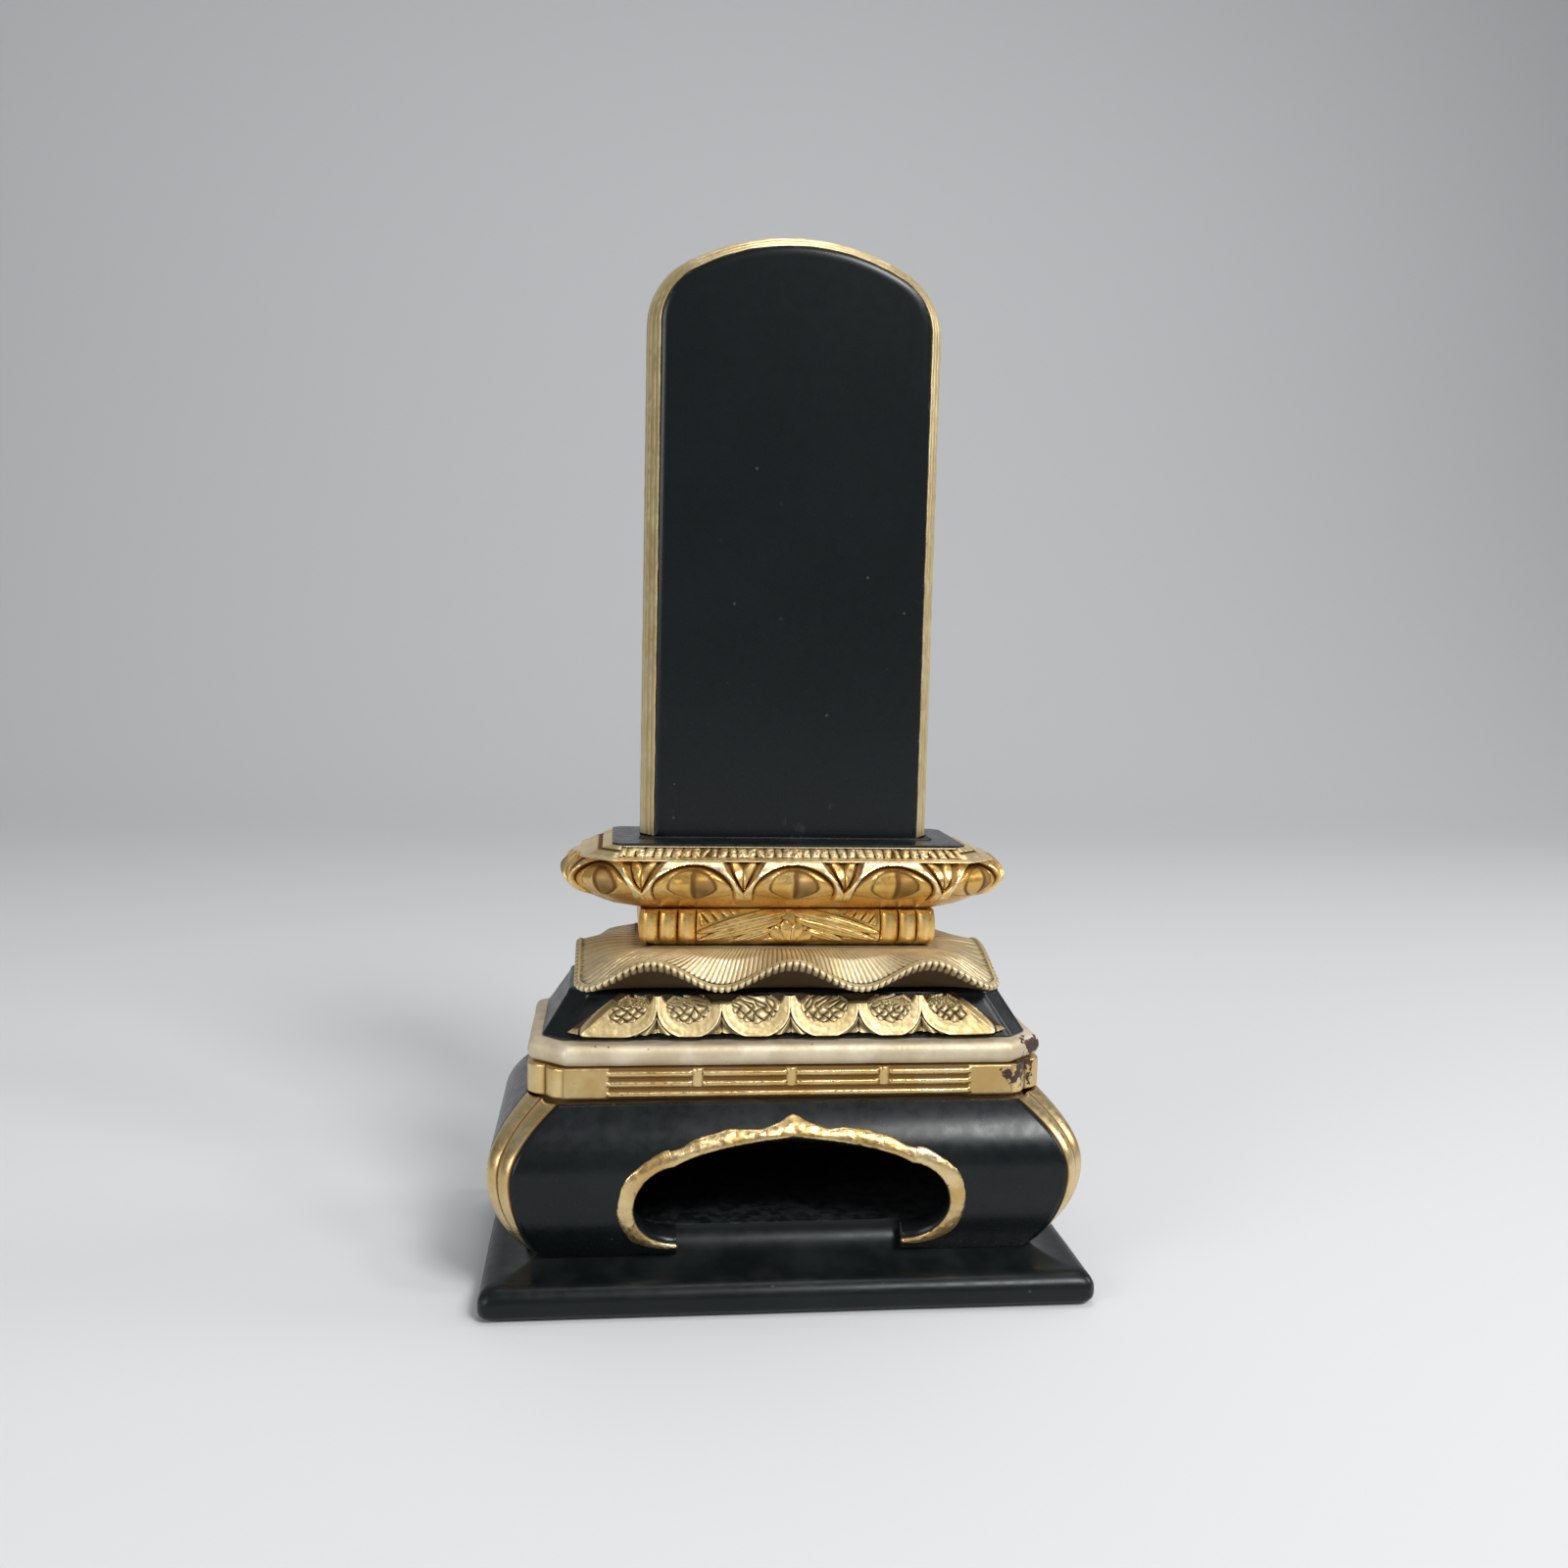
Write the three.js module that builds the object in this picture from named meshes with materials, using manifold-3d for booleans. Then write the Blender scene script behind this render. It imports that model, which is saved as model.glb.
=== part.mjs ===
// A Japanese household memorial tablet (ihai): a bare lacquered tablet with gilt edges,
// tenoned into a tiered stand of lotus, leaf, step, hollow bombe body and coved base plate.
// Millimetres, +Z up, the tablet's face looks along -Y,
// and the origin is the centre of the base plate's underside.

import * as THREE from "three";
import { mergeVertices } from "three/addons/utils/BufferGeometryUtils.js";
import Module from "manifold-3d";

const wasm = await Module();
wasm.setup();

// Clearances
const jointGap = 0.3; // left open between neighbouring pieces
const tenonSlip = 0.3; // room on every side of the tablet's tenon
const dowelSlip = 0.3; // room round a dowel and at its ends

// Base plate: a rounded nose, a cove that rises to the plinth under the body
const baseWidth = 119.6;
const baseDepth = 69;
const baseCorner = 2.4;
const noseHeight = 6.4;
const noseRound = 1.6;
const noseSteps = 4;
const coveSteps = 8;
const cornerSteps = 4;
const plinthWidth = 93.2;
const plinthDepth = 41;
const plinthHeight = 13;

// Body: four bombe boards and four reeded corner posts round a hollow
const bodyWidth = 117.6;
const bodyDepth = 61;
const bodyRise = 25.5; // body top above the plinth
const bellyRise = 12.5; // widest line above the plinth
const footDrop = 4.4; // outer foot of the boards below the plinth top
const topDraw = 7.2; // how far the boards draw in towards the top
const footDraw = 6.2; // how far they draw in towards the foot
const boardThickness = 4;
const postCantBelly = 4.8;
const postCantTop = 6;
const cantRatio = 1.45; // a corner's length along the side for each unit along the front
const reedRelief = 0.7;
const reedSteps = 8; // points across the two reeds
const bodySteps = 16;
const deckThickness = 3;
const glueBlockWidth = 8;

// Arch opening in the front board
const archWidth = 61.8;
const archCrown = 20.1; // crown above the plinth
const archHaunchWidth = 26.6; // the crown's curve is full out to here
const archCuspWidth = 41.2; // where the crown meets the lobes
const archCuspRise = 17; // that place above the plinth
const archCrownDip = 1; // how far the crown falls towards its haunches
const lobeRadius = 8.7;
const lobeRise = 6.7; // lobe centre above the plinth
const archSteps = 9; // points along each curve of the outline
const lobeEnd = 85; // degrees at which each lobe runs into the crown
const toeGap = 44.4; // clear width between the toes

// Step: a gilt band with raised bars and a rounded moulding on it
const stepWidth = 103.4;
const stepDepth = 45;
const bandHeight = 6.2;
const bandEdge = 0.5; // small bevel along the band's top and bottom
const stepCantWidth = 7.4;
const stepCantDepth = 6.4;
const barRelief = 0.6;
const barHeight = 1.1;
const barSpan = 71;
const barTieWidth = 1.6;
const barPitch = 18.4;
const mouldingHeight = 4.2;
const mouldingRound = 1.5;
const mouldingSteps = 6;

// Lotus core: the black block behind the lower lotus
const coreFootWidth = 98;
const coreFootDepth = 36;
const coreTopWidth = 87;
const coreTopDepth = 28;
const coreHeight = 8.6;
const coreRound = 1.1;
const coreRoundSteps = 2;
const coreCant = 4;

// Lower lotus: a carved panel on the front of the core
const panelWidth = 86.4;
const panelTopWidth = 70;
const panelThickness = 1.4;
const panelRelief = 1;
const pairPetal = 11.2; // width of each petal of a touching pair
const peakGap = 4.6; // width taken by a pointed peak between petals
const panelScallop = 0.9; // how far the petals hang below the notches between them
const panelPetalHeight = 6.4;
const panelPetalInset = 0.9; // between a petal's round body and the petal's sides

// Leaf plate with a waved edge
const leafWidth = 85.6;
const leafDepth = 41;
const leafCorner = 5;
const leafPoints = 96; // points round the leaf
const leafRise = 8.4; // top of the plate above the core
const leafCrest = 6.4; // wave crest above the core
const leafTrough = 1.5; // wave trough above the core
const leafEdge = 1.1;
const leafWave = 27.8;
const leafBrow = 0.5; // fall from the neck's seat to the brow of the slope
const leafFullness = 0.72; // share of its height that the slope keeps halfway out
const hubMargin = 6.4; // how far the hub under the leaf stands back from the edge
const hubHeight = 0.9;
const hubCorner = 1;

// Neck block
const neckWidth = 60.6;
const neckDepth = 25.4;
const neckHeight = 7.3;
const neckSwell = 0.8;
const neckCorner = 1.2;
const neckSteps = 6;
const ribRadius = 1.8;
const ribPitch = 3.7;
const ribCount = 2;
const ribSides = 12;

// Upper lotus
const lotusWidth = 87.2;
const lotusDepth = 37.8;
const lotusHeight = 10.3;
const lotusCantWidth = 12.4;
const lotusCantDepth = 10.8;
const lotusUndercut = 8;
const lotusFullest = 0.64; // share of the height at which the lotus is widest
const lotusSteps = 8;
const petalPitch = 20.2;
const petalWidth = 18.6;
const petalHeight = 9.6;
const petalSwell = 1.8;
const petalCentre = 5.8; // above the foot of the lotus

// Stamen band and seat cap
const seatWidth = 82; // top of the lotus
const seatDepth = 32;
const seatCantWidth = 5.4;
const seatCantDepth = 5;
const stamenHeight = 1.5;
const stamenRecess = 0.5;
const stamenSteps = 3;
const capWidth = 71.2;
const capDepth = 27;
const capCant = 1.6;
const capEdge = 0.5;
const capCrown = 0.3;
const capCrownInset = 5.4;

// Tablet
const tabletWidth = 60;
const tabletHeight = 120.8; // above the seat
const shoulderRadius = 15;
const crownRadius = 46;
const tenonWidth = 26;
const tenonThickness = 6;
const tenonLength = 9;
const shoulderArcSteps = 8;
const crownArcSteps = 16;
// The moulded edge from the face to the middle of the edge, as distances in from the
// outermost line and from the tablet's middle plane
const edgeProfile = [
  [3.9, 5.3],
  [3.4, 5],
  [3.3, 4.2],
  [2.1, 3.9],
  [1.6, 3.2],
  [2, 2.5],
  [0.7, 2],
  [0.1, 1.1],
];

// Dowels between the tiers
const dowelDiameter = 5;
const dowelDepth = 3.4; // how far a dowel enters the piece above or below
const stepDowelSpacing = 60;
const coreDowelSpacing = 36;
const neckDowelSpacing = 44;

// Levels, from the ground up
const noseTop = noseHeight;
const plinthTop = plinthHeight;
const bellyLevel = plinthTop + bellyRise;
const bodyTop = plinthTop + bodyRise;
const bodyFoot = plinthTop - footDrop;
const deckBottom = bodyTop - deckThickness;
const bandBottom = bodyTop + jointGap;
const bandTop = bandBottom + bandHeight;
const mouldingBottom = bandTop + jointGap;
const mouldingTop = mouldingBottom + mouldingHeight;
const coreBottom = mouldingTop + jointGap;
const coreTop = coreBottom + coreHeight;
const leafBottom = coreTop + jointGap;
const leafTop = coreTop + leafRise;
const neckBottom = leafTop + jointGap;
const neckTop = neckBottom + neckHeight;
const lotusBottom = neckTop + jointGap;
const lotusTop = lotusBottom + lotusHeight;
const stamenBottom = lotusTop + jointGap;
const stamenTop = stamenBottom + stamenHeight;
const capBottom = stamenTop + jointGap;
const capTop = capBottom + capEdge + capCrown;
const tabletBottom = capTop + jointGap;
const tabletTop = tabletBottom + tabletHeight;

// Finishes
const finish = (color, roughness, metalness) => ({ color, roughness, metalness });
const blackLacquer = finish(0x11161a, 0.32, 0);
const goldLeaf = finish(0xc99a45, 0.38, 0.85);
const paleGold = finish(0xcdb07c, 0.5, 0.7);
const bareWood = finish(0x9a7448, 0.75, 0);

// Solids

/** Turn a closed three.js geometry into a solid that can be joined and cut. */
function solidOf(geometry) {
  const bare = geometry.clone();
  for (const name of Object.keys(bare.attributes)) {
    if (name !== "position") bare.deleteAttribute(name);
  }
  const merged = mergeVertices(bare, 1e-4);
  return new wasm.Manifold(
    new wasm.Mesh({
      numProp: 3,
      vertProperties: new Float32Array(merged.attributes.position.array),
      triVerts: new Uint32Array(merged.index.array),
    }),
  );
}

/** Turn a solid back into a three.js geometry. */
function geometryOf(solid) {
  const mesh = solid.getMesh();
  const geometry = new THREE.BufferGeometry();
  geometry.setAttribute("position", new THREE.BufferAttribute(mesh.vertProperties, 3));
  geometry.setIndex(new THREE.BufferAttribute(mesh.triVerts, 1));
  return geometry;
}

const fromAbove = (point) => new THREE.Vector2(point.x, point.y);
const fromBehind = (point) => new THREE.Vector2(-point.x, point.z);

/** Skin a stack of rings that have the same number of points, and close both ends. */
function loft(rings, plan = fromAbove) {
  const count = rings[0].length;
  const positions = rings.flat().flatMap((point) => [point.x, point.y, point.z]);
  const faces = [];
  for (let level = 0; level + 1 < rings.length; level++) {
    for (let i = 0; i < count; i++) {
      const next = (i + 1) % count;
      const low = level * count;
      const high = low + count;
      faces.push(low + i, low + next, high + next, low + i, high + next, high + i);
    }
  }
  const last = (rings.length - 1) * count;
  for (const [a, b, c] of THREE.ShapeUtils.triangulateShape(rings[0].map(plan), [])) faces.push(a, c, b);
  for (const [a, b, c] of THREE.ShapeUtils.triangulateShape(rings.at(-1).map(plan), [])) {
    faces.push(last + a, last + b, last + c);
  }
  const geometry = new THREE.BufferGeometry();
  geometry.setAttribute("position", new THREE.Float32BufferAttribute(positions, 3));
  geometry.setIndex(faces);
  return solidOf(geometry);
}

/** An upright box between two corners. */
function block(low, high) {
  const size = high.map((value, axis) => value - low[axis]);
  const geometry = new THREE.BoxGeometry(...size);
  return solidOf(geometry.translate(...low.map((value, axis) => value + size[axis] / 2)));
}

/** An upright round rod. */
function rod(radius, x, y, bottom, top, sides = 16) {
  const geometry = new THREE.CylinderGeometry(radius, radius, top - bottom, sides);
  return solidOf(geometry.rotateX(Math.PI / 2).translate(x, y, (bottom + top) / 2));
}

/** An ellipsoid turned about the vertical. */
function dome(radii, centre, turn = 0) {
  const geometry = new THREE.SphereGeometry(1, 14, 8).rotateX(Math.PI / 2);
  return solidOf(geometry.scale(...radii).rotateZ(turn).translate(...centre));
}

/** A flat outline drawn in X and Z, made solid between two Y values. */
function wallSolid(points, front, back) {
  const shape = new THREE.Shape(points.map(([x, z]) => new THREE.Vector2(x, z)));
  const geometry = new THREE.ExtrudeGeometry(shape, { depth: back - front, bevelEnabled: false });
  return solidOf(geometry.rotateX(Math.PI / 2).translate(0, back, 0));
}

const joined = (solids) => solids.reduce((sum, solid) => sum.add(solid));

/** A level rectangle with its four corners canted, each cant plain or with two round reeds. */
function cantedRing(halfX, halfY, cantX, cantY, z, reed = 0) {
  const points = [];
  const steps = reed > 0 ? reedSteps : 1;
  const normal = new THREE.Vector2(cantY, cantX).normalize();
  for (const [sideX, sideY] of [[1, -1], [1, 1], [-1, 1], [-1, -1]]) {
    const alongFront = new THREE.Vector2(halfX - cantX, halfY);
    const alongSide = new THREE.Vector2(halfX, halfY - cantY);
    const [start, end] = sideX * sideY < 0 ? [alongFront, alongSide] : [alongSide, alongFront];
    for (let step = 0; step <= steps; step++) {
      const share = step / steps;
      const swell = reed * Math.abs(Math.sin(2 * Math.PI * share));
      const point = start.clone().lerp(end, share).addScaledVector(normal, swell);
      points.push(new THREE.Vector3(sideX * point.x, sideY * point.y, z));
    }
  }
  return points;
}

/** The cant that is left when a canted rectangle is drawn in evenly by a distance. */
function cantAfterInset(cantX, cantY, inset) {
  const length = Math.hypot(cantX, cantY);
  const normalX = cantY / length;
  const normalY = cantX / length;
  return [cantX - inset * (1 - (1 - normalY) / normalX), cantY - inset * (1 - (1 - normalX) / normalY)];
}

/** Evenly spaced points round a rectangle with rounded corners; height gives each point's Z. */
function roundedRing(halfX, halfY, radius, height, count) {
  const shape = new THREE.Shape();
  const straightX = halfX - radius;
  const straightY = halfY - radius;
  shape.moveTo(0, -halfY);
  shape.lineTo(straightX, -halfY);
  shape.absarc(straightX, -straightY, radius, -Math.PI / 2, 0);
  shape.absarc(straightX, straightY, radius, 0, Math.PI / 2);
  shape.absarc(-straightX, straightY, radius, Math.PI / 2, Math.PI);
  shape.absarc(-straightX, -straightY, radius, Math.PI, 1.5 * Math.PI);
  shape.closePath();
  const points = shape.getSpacedPoints(count).slice(0, count);
  return points.map(({ x, y }) => new THREE.Vector3(x, y, height(x, y)));
}

/** A level rounded rectangle with the same few points on every corner. */
function baseRing(halfX, halfY, radius, z) {
  const points = [];
  for (let corner = 0; corner < 4; corner++) {
    const start = (corner - 1) * (Math.PI / 2);
    const centreX = (corner < 2 ? 1 : -1) * (halfX - radius);
    const centreY = (corner === 1 || corner === 2 ? 1 : -1) * (halfY - radius);
    for (let step = 0; step <= cornerSteps; step++) {
      const angle = start + (step / cornerSteps) * (Math.PI / 2);
      points.push(
        new THREE.Vector3(centreX + radius * Math.cos(angle), centreY + radius * Math.sin(angle), z),
      );
    }
  }
  return points;
}

/** Evenly spaced points along an arc. */
function arc(centreX, centreY, radius, start, end, steps) {
  return Array.from({ length: steps + 1 }, (_, i) => {
    const angle = start + ((end - start) * i) / steps;
    return new THREE.Vector2(centreX + radius * Math.cos(angle), centreY + radius * Math.sin(angle));
  });
}

/** The holes for two upright dowels that stand side by side. */
function dowelHoles(spacing, bottom, top) {
  const radius = dowelDiameter / 2 + dowelSlip;
  const hole = (x) => rod(radius, x, 0, bottom - dowelSlip, top + dowelSlip);
  return hole(-spacing / 2).add(hole(spacing / 2));
}

// Base plate

/** The base plate, grown evenly by a clearance where it is used to cut what stands on it. */
function basePlate(grow) {
  const rings = [];
  const halfX = baseWidth / 2 + grow;
  const halfY = baseDepth / 2 + grow;
  const ringAt = (insetX, insetY, radius, z) => baseRing(halfX - insetX, halfY - insetY, radius, z + grow);
  rings.push(baseRing(halfX - noseRound / 2, halfY - noseRound / 2, baseCorner, -grow));
  rings.push(ringAt(0, 0, baseCorner, noseRound / 2));
  for (let step = 0; step <= noseSteps; step++) {
    const angle = (step / noseSteps) * (Math.PI / 2);
    const inset = noseRound * (1 - Math.cos(angle));
    rings.push(ringAt(inset, inset, baseCorner, noseTop - noseRound * (1 - Math.sin(angle))));
  }
  const runX = (baseWidth - plinthWidth) / 2 - noseRound;
  const runY = (baseDepth - plinthDepth) / 2 - noseRound;
  for (let step = 1; step <= coveSteps; step++) {
    const angle = (step / coveSteps) * (Math.PI / 2);
    const share = Math.sin(angle);
    const rise = (plinthTop - noseTop) * (1 - Math.cos(angle));
    const radius = baseCorner + (jointGap - baseCorner) * share;
    rings.push(ringAt(noseRound + runX * share, noseRound + runY * share, radius, noseTop + rise));
  }
  return loft(rings);
}

// Body

/** How far the body's walls draw in at a height. */
function drawAt(z) {
  if (z > bellyLevel) return topDraw * ((z - bellyLevel) / (bodyTop - bellyLevel)) ** 2;
  return footDraw * ((bellyLevel - z) / (bellyLevel - bodyFoot)) ** 2;
}

/** Half sizes and cants of the body's outside at a height. */
function bodyPlan(z) {
  const draw = drawAt(z);
  const upper = Math.max(0, (z - bellyLevel) / (bodyTop - bellyLevel));
  const cantX = postCantBelly + (postCantTop - postCantBelly) * upper ** 2;
  return { halfX: bodyWidth / 2 - draw, halfY: bodyDepth / 2 - draw, cantX, cantY: cantX * cantRatio };
}

/** Heights at which the body's curve is drawn. */
function bodyLevels() {
  return Array.from({ length: bodySteps + 1 }, (_, i) => noseTop + ((bodyTop - noseTop) * i) / bodySteps);
}

/** The body's outside, or its hollow when drawn in by a wall. */
function bodyLoft(inset, reed) {
  const rings = bodyLevels().map((z) => {
    const plan = bodyPlan(z);
    const [cantX, cantY] = cantAfterInset(plan.cantX, plan.cantY, inset);
    return cantedRing(plan.halfX - inset, plan.halfY - inset, cantX, cantY, z, reed);
  });
  return loft(rings);
}

/** A region between two curved limits in X and Y, given as functions of the body's plan. */
function bodyRegion(limits) {
  const rings = bodyLevels().map((z) => {
    const [lowX, highX, lowY, highY] = limits(bodyPlan(z));
    return [[lowX, lowY], [highX, lowY], [highX, highY], [lowX, highY]].map(
      ([x, y]) => new THREE.Vector3(x, y, z),
    );
  });
  return loft(rings);
}

/** Outline of the opening in X and Z: two round lobes and a low crown, open at the foot. */
function archOutline() {
  const lobeX = archWidth / 2 - lobeRadius;
  const lobeZ = plinthTop + lobeRise;
  const crownZ = plinthTop + archCrown;
  const cuspZ = plinthTop + archCuspRise;
  const half = new THREE.Path();
  half.moveTo(toeGap / 2, noseTop - jointGap);
  half.lineTo(toeGap / 2, lobeZ - lobeRadius);
  half.absarc(lobeX, lobeZ, lobeRadius, -Math.PI / 2, THREE.MathUtils.degToRad(lobeEnd), false);
  half.bezierCurveTo(archCuspWidth / 2, cuspZ, archHaunchWidth / 2, crownZ - archCrownDip, 0, crownZ);
  const right = half.getPoints(archSteps).map(({ x, y }) => [x, y]);
  const left = right.slice(0, -1).reverse().map(([x, z]) => [-x, z]);
  return [...right, ...left];
}

const far = bodyWidth; // beyond the body on every side
const baseCutter = basePlate(jointGap);
const bodyShell = bodyLoft(0, reedRelief).subtract(bodyLoft(boardThickness, 0)).subtract(baseCutter);
const halfGap = jointGap / 2;

/** The front or back board, without any opening. */
function endBoard(side) {
  const region = bodyRegion(({ halfX, cantX }) => {
    const limit = halfX - cantX - halfGap;
    return side < 0 ? [-limit, limit, -far, 0] : [-limit, limit, 0, far];
  });
  return bodyShell.intersect(region);
}

/** The left or right board. */
function sideBoard(side) {
  const region = bodyRegion(({ halfY, cantY }) => {
    const limit = halfY - cantY - halfGap;
    return side < 0 ? [-far, 0, -limit, limit] : [0, far, -limit, limit];
  });
  return bodyShell.intersect(region);
}

/** A reeded corner post. */
function cornerPost(sideX, sideY) {
  const region = bodyRegion(({ halfX, halfY, cantX, cantY }) => {
    const x = halfX - cantX + halfGap;
    const y = halfY - cantY + halfGap;
    const spanX = sideX < 0 ? [-far, -x] : [x, far];
    const spanY = sideY < 0 ? [-far, -y] : [y, far];
    return [...spanX, ...spanY];
  });
  return bodyShell.intersect(region);
}

const hollowFill = bodyLoft(boardThickness + jointGap, 0);

/** The board that closes the body's top from inside. */
function bodyDeck() {
  const slab = block([-far, -far, deckBottom], [far, far, bodyTop]);
  return hollowFill.intersect(slab).subtract(dowelHoles(stepDowelSpacing, deckBottom, bodyTop));
}

/** A block glued into a corner of the hollow, from the plinth to the deck. */
function glueBlock(sideX, sideY) {
  const { halfX, halfY } = bodyPlan(bellyLevel);
  const innerX = halfX - boardThickness - glueBlockWidth;
  const innerY = halfY - boardThickness - glueBlockWidth;
  const spanX = [innerX * sideX, far * sideX].sort((a, b) => a - b);
  const spanY = [innerY * sideY, far * sideY].sort((a, b) => a - b);
  const corner = block(
    [spanX[0], spanY[0], plinthTop + jointGap],
    [spanX[1], spanY[1], deckBottom - jointGap],
  );
  return hollowFill.intersect(corner).subtract(baseCutter);
}

// Step

/** The barred band with reeded canted corners. */
function stepBand() {
  const halfX = stepWidth / 2;
  const halfY = stepDepth / 2 - barRelief;
  const ring = (inset, z) =>
    cantedRing(halfX - inset, halfY - inset, stepCantWidth, stepCantDepth, z, reedRelief);
  const band = loft([
    ring(bandEdge, bandBottom),
    ring(0, bandBottom + bandEdge),
    ring(0, bandTop - bandEdge),
    ring(bandEdge, bandTop),
  ]);
  const bars = [];
  const lowest = bandBottom + bandEdge;
  const spacing = (bandHeight - 2 * bandEdge - barHeight) / 2;
  for (const row of [0, 1, 2]) {
    const low = lowest + row * spacing;
    const high = [barSpan / 2, -halfY + barRelief, low + barHeight];
    bars.push(block([-barSpan / 2, -halfY - barRelief, low], high));
  }
  for (const place of [-1, 0, 1]) {
    const x = place * barPitch;
    const low = [x - barTieWidth / 2, -halfY - barRelief, lowest + spacing];
    bars.push(block(low, [x + barTieWidth / 2, 0, bandTop - bandEdge]));
  }
  const bores = dowelHoles(stepDowelSpacing, bandBottom - dowelDepth, coreBottom);
  return joined([band, ...bars]).subtract(bores);
}

/** The rounded moulding on the band. */
function stepMoulding() {
  const rings = [];
  for (let step = 0; step <= mouldingSteps; step++) {
    const angle = Math.PI * (step / mouldingSteps - 0.5);
    const inset = mouldingRound * (1 - Math.cos(angle));
    const z = (mouldingBottom + mouldingTop) / 2 + (mouldingHeight / 2) * Math.sin(angle);
    rings.push(
      cantedRing(stepWidth / 2 - inset, stepDepth / 2 - inset, stepCantWidth, stepCantDepth, z),
    );
  }
  return loft(rings).subtract(dowelHoles(stepDowelSpacing, bandBottom, coreBottom));
}

// Lower lotus

/** How far the core's front slopes back over a height above its foot. */
function coreSlope(height) {
  return (((coreFootDepth - coreTopDepth) / 2) * height) / coreHeight;
}

/** The black block that carries the lower lotus and the leaf plate. */
function lotusCore() {
  const ring = (height, inset) => {
    const share = height / coreHeight;
    const halfX = (coreFootWidth + (coreTopWidth - coreFootWidth) * share) / 2;
    return cantedRing(
      halfX - inset,
      coreFootDepth / 2 - coreSlope(height) - inset,
      coreCant,
      coreCant,
      coreBottom + height,
    );
  };
  const rings = [ring(0, 0)];
  for (let step = 0; step <= coreRoundSteps; step++) {
    const angle = (step / coreRoundSteps) * (Math.PI / 2);
    const height = coreHeight - coreRound * (1 - Math.sin(angle));
    rings.push(ring(height, coreRound * (1 - Math.cos(angle))));
  }
  const stepBores = dowelHoles(stepDowelSpacing, bandBottom, coreBottom + dowelDepth);
  const coreBores = dowelHoles(coreDowelSpacing, coreTop - dowelDepth, leafTop);
  return loft(rings).subtract(stepBores).subtract(coreBores);
}

/** Half outline of the panel's scalloped foot: petal centres and widths from the middle out. */
function panelPetals() {
  const first = peakGap / 2 + pairPetal / 2;
  const second = first + pairPetal;
  const third = (second + pairPetal / 2 + peakGap + panelWidth / 2) / 2;
  const outer = panelWidth / 2 - (second + pairPetal / 2 + peakGap);
  return [
    { x: first, width: pairPetal },
    { x: second, width: pairPetal },
    { x: third, width: outer },
  ];
}

/** The carved panel of down-turned petals on the core's front slope. */
function lowerLotusPanel() {
  const rise = coreHeight - coreRound;
  const lean = Math.atan2(coreSlope(rise), rise);
  const height = rise / Math.cos(lean) - jointGap;
  const cheek = panelScallop / 3;
  const right = [[0, panelScallop]];
  for (const { x, width } of panelPetals()) {
    right.push([x - width / 2, panelScallop], [x - width / 3, cheek], [x, 0], [x + width / 3, cheek]);
  }
  right.push([panelWidth / 2, panelScallop], [panelTopWidth / 2, height]);
  const left = right.slice(1).reverse().map(([x, z]) => [-x, z]);
  const plate = wallSolid([...left, ...right], -panelThickness, 0);
  const middle = -panelThickness / 2;
  const petals = panelPetals().flatMap(({ x, width }) => {
    const radii = [width / 2 - panelPetalInset / 2, panelRelief - middle, panelPetalHeight / 2];
    return [-1, 1].map((side) => dome(radii, [side * x, middle, panelPetalHeight / 2]));
  });
  const slab = block([-far, -far, 0], [far, 0, height]);
  const panel = joined([plate, ...petals]).intersect(slab);
  const foot = -coreFootDepth / 2 - jointGap / Math.cos(lean);
  const lift = coreBottom + panelThickness * Math.sin(lean);
  return panel.rotate([THREE.MathUtils.radToDeg(-lean), 0, 0]).translate([0, foot, lift]);
}

// Leaf plate

/** Height of the leaf's waved edge above a point of its plan. */
function leafEdgeHeight(x, y) {
  const onFront = Math.abs(y) / leafDepth > Math.abs(x) / leafWidth;
  const wave = onFront ? Math.cos((2 * Math.PI * x) / leafWave) : Math.cos((2 * Math.PI * y) / leafDepth);
  return coreTop + (leafCrest + leafTrough) / 2 + ((leafCrest - leafTrough) / 2) * wave;
}

/** The waved leaf plate on its hub. */
function leafPlate() {
  const halfX = leafWidth / 2;
  const halfY = leafDepth / 2;
  const ring = (x, y, corner, height) => roundedRing(x, y, corner, height, leafPoints);
  const hub = (z) => ring(halfX - hubMargin, halfY - hubMargin, hubCorner, () => z);
  const edge = (drop) => ring(halfX, halfY, leafCorner, (x, y) => leafEdgeHeight(x, y) - drop);
  const seat = neckSeat();
  const outer = edge(0);
  const brow = leafTop - leafBrow;
  const between = (a, b) => (a + b) / 2;
  const middle = ring(
    between(halfX, seat.halfX),
    between(halfY, seat.halfY),
    between(leafCorner, hubCorner),
    () => 0,
  );
  middle.forEach((point, i) => {
    point.z = outer[i].z + (brow - outer[i].z) * leafFullness;
  });
  const solid = loft([
    hub(leafBottom),
    hub(leafBottom + hubHeight),
    edge(leafEdge),
    outer,
    middle,
    ring(seat.halfX, seat.halfY, hubCorner, () => leafTop),
  ]);
  return solid.subtract(dowelHoles(coreDowelSpacing, coreTop - dowelDepth, neckBottom + dowelDepth));
}

/** The flat on the leaf plate that the neck stands on. */
function neckSeat() {
  return { halfX: neckWidth / 2 + jointGap, halfY: neckDepth / 2 + jointGap };
}

// Neck

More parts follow.
